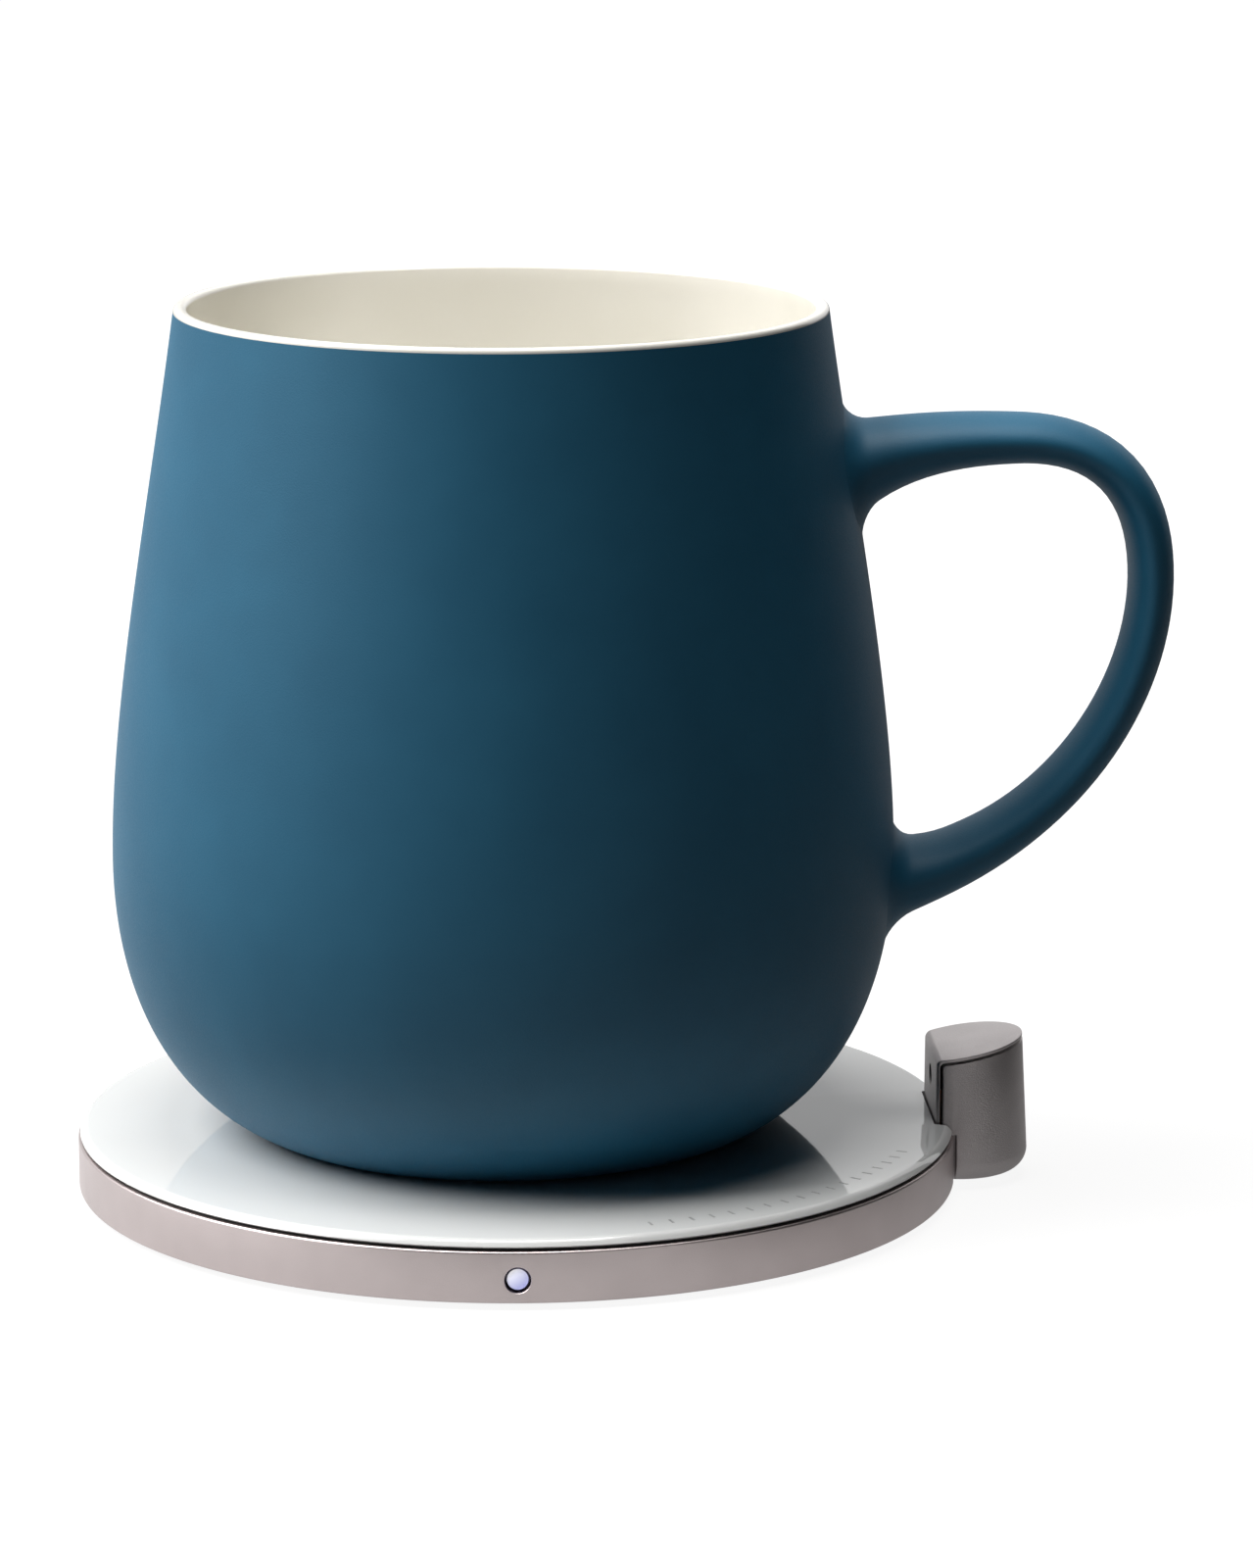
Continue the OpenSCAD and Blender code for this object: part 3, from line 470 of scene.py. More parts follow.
grain_group = bpy.data.node_groups.new("fine_grain", "ShaderNodeTree")
for socket in ("Grain Scale", "Patch Scale"):
    grain_group.interface.new_socket(socket, in_out="INPUT", socket_type="NodeSocketFloat")
for socket in ("Grain", "Patches"):
    grain_group.interface.new_socket(socket, in_out="OUTPUT", socket_type="NodeSocketFloat")
group_in = grain_group.nodes.new("NodeGroupInput")
group_out = grain_group.nodes.new("NodeGroupOutput")
where = grain_group.nodes.new("ShaderNodeTexCoord")
for pattern, scale, detail in PATTERNS:
    noise = add_node(grain_group, "ShaderNodeTexNoise", Detail=detail, Roughness=NOISE_ROUGHNESS)
    link(grain_group, where.outputs["Object"], noise.inputs["Vector"])
    link(grain_group, group_in.outputs[scale], noise.inputs["Scale"])
    spread = add_node(grain_group, "ShaderNodeMapRange", From_Min=NOISE_LOW, From_Max=NOISE_HIGH)
    link(grain_group, noise.outputs["Fac"], spread.inputs["Value"])
    link(grain_group, spread.outputs["Result"], group_out.inputs[pattern])
print("grain group with", len(grain_group.nodes), "nodes")

# %% A finish from two tones
SPECK_FROM, RELIEF_DEPTH = 0.90, 0.0001


def mix_colour(tree, share, first, second):
    """Colour between two, which are sockets or plain colours."""
    node = tree.nodes.new("ShaderNodeMix")
    node.data_type = "RGBA"
    link(tree, share, node.inputs["Factor"])
    for socket, colour in ((node.inputs[6], first), (node.inputs[7], second)):
        if isinstance(colour, tuple):
            socket.default_value = (*colour, 1)
        else:
            link(tree, colour, socket)
    return node.outputs[2]


def make_finish(name, deep, pale, rough, grain, patch, relief, metallic=0.0, coat=0.0, speck=None,
                gloss_level=0.5):
    """Material between two tones. Grain and patch are scales, and the grain drives roughness and relief."""
    material = bpy.data.materials.new(name)
    material.use_nodes = True
    tree = material.node_tree
    shader = tree.nodes["Principled BSDF"]
    pattern = tree.nodes.new("ShaderNodeGroup")
    pattern.node_tree = grain_group
    pattern.inputs["Grain Scale"].default_value = grain
    pattern.inputs["Patch Scale"].default_value = patch
    colour = mix_colour(tree, pattern.outputs["Patches"], deep, pale)
    if speck:
        sharp = add_node(tree, "ShaderNodeMapRange", From_Min=SPECK_FROM, From_Max=1.0)
        link(tree, pattern.outputs["Grain"], sharp.inputs["Value"])
        colour = mix_colour(tree, sharp.outputs["Result"], colour, speck)
    link(tree, colour, shader.inputs["Base Color"])
    gloss = add_node(tree, "ShaderNodeMapRange", To_Min=rough[0], To_Max=rough[1])
    link(tree, pattern.outputs["Grain"], gloss.inputs["Value"])
    link(tree, gloss.outputs["Result"], shader.inputs["Roughness"])
    if relief:
        bump = add_node(tree, "ShaderNodeBump", Strength=relief, Distance=RELIEF_DEPTH)
        link(tree, pattern.outputs["Grain"], bump.inputs["Height"])
        link(tree, bump.outputs["Normal"], shader.inputs["Normal"])
    shader.inputs["Metallic"].default_value = metallic
    shader.inputs["Coat Weight"].default_value = coat
    shader.inputs["Specular IOR Level"].default_value = gloss_level
    return material


print("finish builder ready")

# %% [markdown]
# ## The finishes of this object
#
# The mug is matte blue outside and glossy cream inside. The pad's plate is polished white, so that it
# mirrors the mug, and its rim is satin metal in a rose taupe. The post is the same metal in a darker tone.

# %% All finishes by their slot
finish = {
    "blue_ceramic": make_finish("blue_matte_glaze", (0.0095, 0.105, 0.192), (0.0135, 0.122, 0.218),
                                (0.50, 0.62), 5200, 70, 0.10, gloss_level=0.42),
    "white_glaze": make_finish("cream_gloss_glaze", (0.89, 0.87, 0.80), (0.92, 0.90, 0.84),
                               (0.16, 0.22), 1500, 60, 0.02, coat=0.3),
    "white_plate": make_finish("polished_white", (0.82, 0.83, 0.825), (0.86, 0.87, 0.865),
                               (0.035, 0.055), 900, 30, 0.0, coat=0.2),
    "taupe_metal": make_finish("satin_rose_taupe", (0.58, 0.51, 0.505), (0.63, 0.555, 0.55),
                               (0.32, 0.40), 9000, 120, 0.12, metallic=1.0),
    "dark_taupe_metal": make_finish("satin_dark_taupe", (0.47, 0.435, 0.435), (0.55, 0.51, 0.51),
                                    (0.30, 0.46), 7000, 110, 0.40, metallic=0.9, speck=(0.76, 0.72, 0.72)),
    "black_rubber": make_finish("black_silicone", (0.006, 0.006, 0.006), (0.012, 0.012, 0.012),
                                (0.62, 0.78), 6000, 90, 0.15),
    "grey_plastic": make_finish("moulded_grey", (0.10, 0.098, 0.098), (0.125, 0.12, 0.12),
                                (0.48, 0.60), 5000, 80, 0.20),
    "circuit_board": make_finish("solder_mask", (0.008, 0.10, 0.035), (0.012, 0.13, 0.05),
                                 (0.30, 0.42), 3000, 200, 0.08),
    "chip_plastic": make_finish("chip_epoxy", (0.009, 0.009, 0.010), (0.014, 0.014, 0.015),
                                (0.45, 0.62), 7000, 150, 0.15),
    "copper": make_finish("enamelled_copper", (0.46, 0.13, 0.035), (0.55, 0.18, 0.06),
                          (0.24, 0.36), 6000, 200, 0.15, metallic=1.0),
    "ferrite": make_finish("sintered_ferrite", (0.030, 0.030, 0.033), (0.045, 0.045, 0.05),
                           (0.55, 0.70), 4000, 90, 0.20),
    "insulation": make_finish("pressed_fibre", (0.70, 0.70, 0.66), (0.78, 0.78, 0.74),
                              (0.80, 0.95), 2500, 120, 0.50),
    "heat_pad": make_finish("soft_gap_filler", (0.56, 0.36, 0.36), (0.62, 0.41, 0.41),
                            (0.60, 0.75), 3000, 80, 0.20),
    "heater_steel": make_finish("rolled_steel", (0.46, 0.47, 0.49), (0.54, 0.55, 0.57),
                                (0.28, 0.40), 3500, 60, 0.10, metallic=1.0),
    "bright_steel": make_finish("plated_steel", (0.52, 0.53, 0.55), (0.60, 0.61, 0.63),
                                (0.18, 0.28), 5000, 90, 0.05, metallic=1.0),
    "dark_window": make_finish("black_gloss_window", (0.004, 0.004, 0.004), (0.007, 0.007, 0.008),
                               (0.55, 0.70), 2000, 200, 0.0, gloss_level=0.0),
}
bare_clay = make_finish("unglazed_stoneware", (0.40, 0.36, 0.30), (0.47, 0.42, 0.35),
                        (0.75, 0.90), 4500, 90, 0.40)
contact_gold = make_finish("contact_gold", (0.70, 0.47, 0.16), (0.78, 0.54, 0.20),
                           (0.18, 0.28), 6000, 150, 0.05, metallic=1.0)
grey_ink = make_finish("pale_grey_ink", (0.34, 0.345, 0.345), (0.40, 0.405, 0.405),
                       (0.25, 0.35), 3000, 150, 0.0)
print(len(finish), "finishes")

# %% [markdown]
# ## The lit button's glow and painted highlight
#
# The button is a small clear dome over a white light, which gives it a real lavender glow. Its white upper
# left
# is a painted highlight: a gradient along one direction of the piece turns the glow white there, and lavender
# towards the lower right. A second one keeps the glow to its front, so that the gap around the dome stays
# dark.

# %% Glow of the button
BUTTON_Z = 3.5
BUTTON_R = 1.2
GLOW_Y = (-51.5, -51.6)
# The white end of the glow is a painted highlight at the dome's upper left.
PAINTED_HIGHLIGHT_WAY, GLOW_STRENGTH = (-0.6, 0, 0.8), 0.66
GLOW_DIM, GLOW_PAINTED_HIGHLIGHT, GLOW_OFF = (0.36, 0.40, 0.92), (1.0, 1.0, 1.0), (0, 0, 0)

lens_finish = make_finish("lit_lens_painted_highlight", (0.62, 0.63, 0.86), (0.72, 0.73, 0.93),
                          (0.12, 0.20), 4000, 300, 0.0, coat=0.4)
tree = lens_finish.node_tree
lens_shader = tree.nodes["Principled BSDF"]
where = add_node(tree, "ShaderNodeTexCoord")
centre = add_node(tree, "ShaderNodeMapping", Location=(0, 0, -BUTTON_Z * MM))
along = add_node(tree, "ShaderNodeVectorMath")
along.operation = "DOT_PRODUCT"
along.inputs[1].default_value = PAINTED_HIGHLIGHT_WAY
# Painted highlight: the glow turns from lavender to white towards the upper left.
painted_highlight_ramp = add_node(tree, "ShaderNodeMapRange", From_Min=-BUTTON_R * MM, From_Max=BUTTON_R * MM)
link(tree, where.outputs["Object"], centre.inputs["Vector"])
link(tree, centre.outputs["Vector"], along.inputs[0])
link(tree, along.outputs["Value"], painted_highlight_ramp.inputs["Value"])
glow_and_painted_highlight = mix_colour(tree, painted_highlight_ramp.outputs["Result"], GLOW_DIM, GLOW_PAINTED_HIGHLIGHT)
axes = add_node(tree, "ShaderNodeSeparateXYZ")
front = add_node(tree, "ShaderNodeMapRange", From_Min=GLOW_Y[0] * MM, From_Max=GLOW_Y[1] * MM)
link(tree, where.outputs["Object"], axes.inputs["Vector"])
link(tree, axes.outputs["Y"], front.inputs["Value"])
glow_and_painted_highlight = mix_colour(tree, front.outputs["Result"], GLOW_OFF, glow_and_painted_highlight)
link(tree, glow_and_painted_highlight, lens_shader.inputs["Emission Color"])
lens_shader.inputs["Emission Strength"].default_value = GLOW_STRENGTH
finish["button_lens"] = lens_finish
print("lens glow ready")

# %% [markdown]
# ## Finishing a piece
#
# A finished piece rides on a body, so that it moves with it, stands for one or more solids, and takes the
# finish of its slot unless it is given its own. Smoothing by angle keeps true edges crisp and round skins
# soft.

# %% Hand a piece to its body
SMOOTH_ANGLE = math.radians(32)
pieces = []


def hand_over(piece, body, slot, *replaced, material=None):
    """Smooths a piece, dresses it and hands it to its body. A material of False keeps the piece's own."""
    pick(piece)
    bpy.ops.object.shade_smooth_by_angle(angle=SMOOTH_ANGLE)
    if material is not False:
        piece.data.materials.clear()
        piece.data.materials.append(material or finish[slot])
    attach(piece, body)
    if replaced:
        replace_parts(piece, *replaced)
    pieces.append(piece)
    triangles = sum(len(face.vertices) - 2 for face in piece.data.polygons)
    print(piece.name, "rides on", body, "with", triangles, "triangles")


print("pieces smooth up to", round(math.degrees(SMOOTH_ANGLE)), "degrees")

# %% [markdown]
# ## The mug's shell
#
# The mug is turned: a narrow foot, a round belly and a mouth that leans in a little. Its side is two
# cubic curves that meet at the belly. The outline goes once round the wall, from the cavity under the
# floor, over the foot and up the side, and back down inside.

# %% Outline of the mug
MUG_X = -1.45
PAD_TOP = 8.01
MUG_H, LIP_RISE, LIP_T, WALL_T, GLAZE_T = 96.9, 0.6, 1.6, 3.8, 0.4
FOOT_R, FOOT_FLARE, FOOT_PULL = 28.9, math.radians(21), 11.1
BELLY_R, BELLY_Z, BELLY_LOW, BELLY_HIGH = 45.9, 32.1, 16.6, 18.2
MOUTH_R, MOUTH_PULL, MOUTH_LEAN = 37.85, 21.0, math.radians(7.8)
FLOOR_R, FLOOR_PULL, FLOOR_Z = 20.0, 14.0, 12.6
CAVITY_R, CAVITY_H = 26.0, 8.6
RIM_Z = MUG_H - LIP_RISE
SIDE_STEPS, MUG_STEPS = 40, 224


def side_high(inset, top_inset):
    """Side from the belly to the mouth, moved in."""
    return curve((BELLY_R - inset, BELLY_Z), (BELLY_R - inset, BELLY_Z + BELLY_HIGH),
                 (MOUTH_R - top_inset + MOUTH_PULL * math.tan(MOUTH_LEAN), RIM_Z - MOUTH_PULL),
                 (MOUTH_R - top_inset, RIM_Z), SIDE_STEPS)


def inner_side(deeper):
    """Inside from the floor to the lip."""
    low_z = FLOOR_Z - deeper
    belly = BELLY_R - WALL_T + deeper
    return curve((FLOOR_R, low_z), (FLOOR_R + FLOOR_PULL, low_z), (belly, (BELLY_Z + FLOOR_Z) / 2),
                 (belly, BELLY_Z), SIDE_STEPS)[:-1] + side_high(WALL_T - deeper, LIP_T - deeper)


foot_handle = (FOOT_R + FOOT_PULL * math.cos(FOOT_FLARE), FOOT_PULL * math.sin(FOOT_FLARE))
outer_side = curve((FOOT_R, 0), foot_handle, (BELLY_R, BELLY_Z - BELLY_LOW), (BELLY_R, BELLY_Z),
                   SIDE_STEPS)[:-1] + side_high(0, 0)


def on_pad(outline):
    """Lifts an outline from the mug's own height to its place on the pad."""
    return [(r, z + PAD_TOP) for r, z in outline]


print("mug", MUG_H, "mm high,", 2 * BELLY_R, "mm wide")

# %% Turn the shell
FOOT_EDGE = 0.3
foot = [(CAVITY_R, FOOT_EDGE), (CAVITY_R + FOOT_EDGE, 0), (FOOT_R - 2 * FOOT_EDGE, 0),
        (FOOT_R - FOOT_EDGE / 2, FOOT_EDGE / 6)]
shell_outline = [(0, CAVITY_H), (CAVITY_R, CAVITY_H)] + foot + outer_side[1:]
shell_outline += inner_side(GLAZE_T)[::-1] + [(0, FLOOR_Z - GLAZE_T)]
mug_shell = lathe("mug_shell", on_pad(shell_outline), MUG_STEPS, MUG_X)
mug_shell.data.materials.append(finish["blue_ceramic"])
mug_shell.data.materials.append(bare_clay)
for face in mug_shell.data.polygons:
    radius = math.hypot(face.center.x / MM - MUG_X, face.center.y / MM)
    height = face.center.z / MM - PAD_TOP
    below = height < FOOT_EDGE and radius < FOOT_R
    inside = height < CAVITY_H + FOOT_EDGE and radius < CAVITY_R + FOOT_EDGE
    face.material_index = 1 if below or inside else 0
hand_over(mug_shell, "mug", "blue_ceramic", "mug_body", material=False)

# %% [markdown]
# ## The glaze inside
#
# The cream glaze lines the mug and rolls over the lip, where it shows as a thin pale line above the blue.
# It is turned as a thin coat of its own, so that its lip is really round.

# %% Turn the glaze coat
LIP_STEPS = 10
lip_inner = LIP_T / 2
lip = arc(MOUTH_R - LIP_RISE, RIM_Z, LIP_RISE, 0, 90, LIP_STEPS)
lip += [(MOUTH_R - LIP_T + lip_inner * (1 + x), RIM_Z + LIP_RISE * z)
        for x, z in arc(0, 0, 1, 90, 180, LIP_STEPS)]
coat_outline = [(0, FLOOR_Z - GLAZE_T)] + inner_side(GLAZE_T) + lip
coat_outline += inner_side(0)[-2::-1] + [(0, FLOOR_Z)]
glaze_coat = lathe("glaze_coat", on_pad(coat_outline), MUG_STEPS, MUG_X)
hand_over(glaze_coat, "mug", "white_glaze", "inner_glaze")

# %% [markdown]
# ## The handle
#
# The handle is drawn out by hand and slipped onto the wall, so it swells towards its two roots and runs
# into the wall in a small hollow curve. A skin over rings along its middle line gives that: each ring is an
# oval, and near a root it grows and bends until it lies on the wall.

# %% Middle line of the handle
GRIP_X, GRIP_Z, GRIP_T, GRIP_W = BELLY_R + 29.8, 64.4, 5.3, 11.4
ARM_Z, ROOT_SINK, CORNER_RUN, CORNER_SHARE = MUG_H - 15.8, 3.5, 15.7, 0.65
ARM_PULL, ARM_RISE, GRIP_PULL = 6.3, 3.0, 14.7
ROOT_LOW_Z, ROOT_LOW_SLOPE, ROOT_LOW_PULL = 28.5, math.radians(14.5), 19.5
ARM_STEPS, GRIP_STEPS = 120, 240


def wall_r(z):
    """Outer radius of the mug at a height."""
    for (r0, z0), (r1, z1) in zip(outer_side, outer_side[1:]):
        if z0 <= z <= z1:
            return r0 + (r1 - r0) * (z - z0) / (z1 - z0)
    return MOUTH_R


root_top = (wall_r(ARM_Z - ROOT_SINK), ARM_Z - ROOT_SINK)
root_low = (wall_r(ROOT_LOW_Z), ROOT_LOW_Z)
arm_end = (GRIP_X - CORNER_RUN, ARM_Z)
grip = (GRIP_X, GRIP_Z)
low_handle = (root_low[0] + ROOT_LOW_PULL * math.cos(ROOT_LOW_SLOPE),
              root_low[1] + ROOT_LOW_PULL * math.sin(ROOT_LOW_SLOPE))
line = curve(root_top, (root_top[0] + ARM_PULL, root_top[1] + ARM_RISE),
             (arm_end[0] - ARM_PULL, ARM_Z), arm_end, ARM_STEPS)
line += curve(arm_end, (arm_end[0] + CORNER_SHARE * CORNER_RUN, ARM_Z),
              (GRIP_X, GRIP_Z + CORNER_SHARE * (ARM_Z - GRIP_Z)), grip, ARM_STEPS)[1:]
line += curve(grip, (GRIP_X, GRIP_Z - GRIP_PULL), low_handle, root_low, GRIP_STEPS)[1:]
run = [0.0]
for a, b in zip(line, line[1:]):
    run.append(run[-1] + math.dist(a, b))
print("handle's middle line", round(run[-1], 1), "mm")

# %% Rings of the handle
FILLET = 2.6
FLARE_LEN, FLARE_TOP, FLARE_LOW, FLARE_W = 8.4, 2.9, 2.4, 1.6
LEVEL_LEN, BEND_LEN = 14.0, 10.0
RING_POINTS, RING_STEP = 40, 1.5
SUNK, END_SUNK, END_SHARE = 0.06, 0.3, 0.4
ROOT_ANGLES = (90, 75, 62, 50, 38, 26, 13, 0)


def along_line(distance):
    """Point and direction of the middle line at a distance from the upper root."""
    i = max(k for k in range(len(run) - 1) if run[k] <= distance + 1e-9)
    share = (distance - run[i]) / (run[i + 1] - run[i])
    point = [a + (b - a) * share for a, b in zip(line[i], line[i + 1])]
    before, after = line[max(i - 2, 0)], line[min(i + 3, len(line) - 1)]
    return point, math.atan2(after[1] - before[1], after[0] - before[0])


def handle_ring(distance, share=1.0):
    """Ring at a distance along the middle line; a share below 1 lies inside the wall."""
    (x, z), turn = along_line(distance)
    to_root = min(distance, run[-1] - distance)
    upper = distance < run[-1] / 2
    level = 0 if upper else -math.pi
    turn = turn - 2 * math.pi if turn > math.pi / 2 else turn
    turn = level + (turn - level) * min(1, to_root / LEVEL_LEN)
    flare = math.exp(-to_root / FLARE_LEN)
    hollow = max(0.0, 1 - to_root / FILLET)
    grow = FILLET * (1 - math.sqrt(1 - hollow ** 2))
    half_t = share * (GRIP_T / 2 + flare * (FLARE_TOP if upper else FLARE_LOW) + grow)
    half_w = share * (GRIP_W / 2 + flare * FLARE_W + grow)
    bend = max(0.0, 1 - to_root / BEND_LEN)
    bend = bend * bend * (3 - 2 * bend)
    sunk = SUNK * hollow ** 4 + (0 if share == 1 else END_SUNK)
    ring = []
    for k in range(RING_POINTS):
        angle = 2 * math.pi * k / RING_POINTS
        out, wide = half_t * math.cos(angle), half_w * math.sin(angle)
        plain_x, point_z = x - out * math.sin(turn), z + out * math.cos(turn)
        wall_x = math.sqrt(wall_r(point_z) ** 2 - wide ** 2) + to_root - sunk
        ring.append((MUG_X + plain_x + (wall_x - plain_x) * bend, wide, point_z + PAD_TOP))
    return ring


near = [FILLET * (1 - math.sin(math.radians(a))) for a in ROOT_ANGLES]
middle_steps = round((run[-1] - 2 * FILLET) / RING_STEP)
middle = [FILLET + (run[-1] - 2 * FILLET) * i / middle_steps for i in range(1, middle_steps)]
stations = near + middle + [run[-1] - d for d in reversed(near)]
rings = [handle_ring(0, END_SHARE)] + [handle_ring(d) for d in stations]
rings.append(handle_ring(run[-1], END_SHARE))
mug_handle = loft("handle", rings)
hand_over(mug_handle, "mug", "blue_ceramic", "mug_handle")

# %% [markdown]
# ## The post's shape, and room for it
#
# The sensor post at the pad's edge is a tapered round column, cut off flat towards the mug and cut off
# at a slope on top. The same column, a little larger, is the tool that cuts room for it into plate and rim.

# %% Column of the post
POST_X, FACE_X, POST_TURN = 52.75, 49.35, math.radians(1.9)
POST_LOW, POST_BASE_R, POST_TOP_R = 0.8, 8.2, 7.45
FACE_TOP, SLOPE = 15.6, math.radians(10)
POST_TOP = FACE_TOP + (POST_X + POST_BASE_R - FACE_X) * math.tan(SLOPE)
POST_GAP = 0.25
SPARE = 3.0
POST_STEPS, FOOT_STEPS = 160, 14


def post_r(z):
    """Radius of the tapered column at a height."""
    return POST_BASE_R + (POST_TOP_R - POST_BASE_R) * (z - POST_LOW) / (POST_TOP - POST_LOW)


def column(name, extra, low, high, round_r=0.0):
    """The post's column as turned, before any cut."""
    r_low, r_high = post_r(low) + extra, post_r(high) + extra
    bottom = arc(r_low - round_r, low + round_r, round_r, -90, 0, FOOT_STEPS) if round_r else [(r_low, low)]
    return lathe(name, [(0, low)] + bottom + [(r_high, high), (0, high)], POST_STEPS, POST_X)


def turn_to_post(piece):
    """Turns a piece from the X axis to the post's place on the pad."""
    pick(piece)
    piece.rotation_euler.z = POST_TURN
    bpy.ops.object.transform_apply()
    return piece


def post_room():
    """Tool that cuts the post's room."""
    tool = column("post_room", POST_GAP, -SPARE, POST_TOP + SPARE)
    cut_away(tool, (FACE_X - POST_GAP, 0, 0), (-1, 0, 0))
    return turn_to_post(tool)


print("post", round(POST_TOP, 1), "mm high")

# %% [markdown]
# ## The plate
#
# The plate is a polished disc with a softly rounded rim and a notch for the post. Its rounding is small,
# but it draws the bright line that separates the plate from the dark joint below.

# %% Turn the plate and cut its notch
PLATE_R, PLATE_Z, PLATE_LOW, STEP_R, PLATE_STEPS = 51.8, 7.11, 6.31, 46.7, 320
ROUND_W, ROUND_H, ROUND_STEPS, UNDER_EDGE = 1.0, 0.75, 12, 0.1
plate_outline = [(0, PLATE_LOW), (STEP_R, PLATE_LOW), (STEP_R, PLATE_Z), (PLATE_R - UNDER_EDGE, PLATE_Z),
                 (PLATE_R, PLATE_Z + UNDER_EDGE)]
for i in range(ROUND_STEPS + 1):
    share = i / ROUND_STEPS
    plate_outline.append((PLATE_R - ROUND_W * share, PAD_TOP - ROUND_H * (1 - share) ** 2))
plate_outline.append((0, PAD_TOP))
plate = lathe("plate", plate_outline, PLATE_STEPS)
combine(plate, post_room(), "DIFFERENCE")
hand_over(plate, "pad", "white_plate", "top_plate")

# %% [markdown]
# ## The rim
#
# The rim is a turned ring with an inward flange that carries the plate. Its two outer edges are broken by
# a fine round, the button has a countersunk hole in front, and the inlet has a slot at the rear. The hole's
# count of sides isn't a multiple of four, so none of its points falls on the rim's own row in front.

# %% Turn the rim
PAD_R, RIM_IN_R, FLANGE_R = 52.0, 50.0, 47.0
RIM_LOW, RIM_TOP, FLANGE_LOW, EDGE = 0.8, 6.75, 5.75, 0.3
EDGE_STEPS, RIM_STEPS, REACH = 5, 360, 2.0
rim_outline = [(RIM_IN_R, RIM_LOW)]
rim_outline += arc(PAD_R - EDGE, RIM_LOW + EDGE, EDGE, -90, 0, EDGE_STEPS)
rim_outline += arc(PAD_R - EDGE, RIM_TOP - EDGE, EDGE, 0, 90, EDGE_STEPS)
rim_outline += [(FLANGE_R, RIM_TOP), (FLANGE_R, FLANGE_LOW), (RIM_IN_R, FLANGE_LOW)]
rim = lathe("rim", rim_outline, RIM_STEPS)
combine(rim, post_room(), "DIFFERENCE")
print("rim", 2 * PAD_R, "mm across")

# %% Screw bosses under the flange
SCREW_R, BOSS_R, BOSS_LOW, BOSS_TOP, THREAD_R, THREAD_TOP = 46.4, 3.0, 3.3, 6.03, 0.95, 5.6
SCREW_ANGLES = (45, 135, 225, 315)
for angle in SCREW_ANGLES:
    x, y = SCREW_R * math.cos(math.radians(angle)), SCREW_R * math.sin(math.radians(angle))
    combine(rim, rod("boss", BOSS_R, (x, y, BOSS_LOW), (x, y, BOSS_TOP)), "UNION")
    combine(rim, rod("thread", THREAD_R, (x, y, BOSS_LOW - REACH), (x, y, THREAD_TOP)), "DIFFERENCE")
print(len(SCREW_ANGLES), "bosses")

# %% Button hole and inlet slot
HOLE_R, HOLE_BEVEL, HOLE_SIDES = 1.5, 0.06, 62
INLET_Z, INLET_HALF_H, INLET_FLAT, INLET_DEPTH = 3.95, 1.8, 5.74, 8.0

hole = lathe("hole", [(0, RIM_IN_R - REACH), (HOLE_R, RIM_IN_R - REACH), (HOLE_R, PAD_R - HOLE_BEVEL),
                      (HOLE_R + HOLE_BEVEL + REACH, PAD_R + REACH), (0, PAD_R + REACH)], HOLE_SIDES)
pick(hole)
hole.rotation_euler.x = math.pi / 2
hole.location.z = BUTTON_Z * MM
bpy.ops.object.transform_apply()
combine(rim, hole, "DIFFERENCE")

slot_tool = rod("slot", INLET_HALF_H, (0, PAD_R - INLET_DEPTH, INLET_Z), (0, PAD_R + REACH, INLET_Z))
for side in (-1, 1):
    edit(slot_tool)
    bpy.ops.mesh.select_all(action="DESELECT")
    mesh = bmesh.from_edit_mesh(slot_tool.data)
    for vert in mesh.verts:
        vert.select = side * vert.co.x > WELD
    mesh.select_flush(True)
    bmesh.update_edit_mesh(slot_tool.data)
    bpy.ops.transform.translate(value=(side * INLET_FLAT / 2 * MM, 0, 0))
combine(rim, slot_tool, "DIFFERENCE")
hand_over(rim, "pad", "taupe_metal", "rim_ring")

# %% [markdown]
# ## The button's lens
#
# The button is a clear dome on a stem, kept from falling out by a bar behind the rim. The dome is turned
# upright and then tipped forwards, so that its height points out of the pad's front.

# %% Turn the lens
BAR_Y, BAR_T, BAR_HALF_W, BAR_HALF_H, BAR_OVERLAP = 49.1, 0.6, 2.2, 1.0, 0.02
DOME, DOME_STEPS = 0.5, 12
dome = [(BUTTON_R * x, PAD_R - DOME + DOME * z) for x, z in arc(0, 0, 1, 0, 90, DOME_STEPS)]
dome[-1] = (0, PAD_R)
button_lens = lathe("button_lens", [(0, BAR_Y), (BUTTON_R, BAR_Y)] + dome, ROD_SIDES)
pick(button_lens)
button_lens.rotation_euler.x = math.pi / 2
button_lens.location.z = BUTTON_Z * MM
bpy.ops.object.transform_apply()
bar = block("bar", (-BAR_HALF_W, -BAR_Y - BAR_T, BUTTON_Z - BAR_HALF_H),
            (BAR_HALF_W, -BAR_Y + BAR_OVERLAP, BUTTON_Z + BAR_HALF_H))
combine(button_lens, bar, "UNION")
hand_over(button_lens, "button", "button_lens", "button_cap")

# %% [markdown]
# ## The foot mat
#
# A thin silicone mat under the pad keeps it from sliding. Such mats have fine rings moulded in, which give
# way a little and grip. The rings are part of the turned outline.

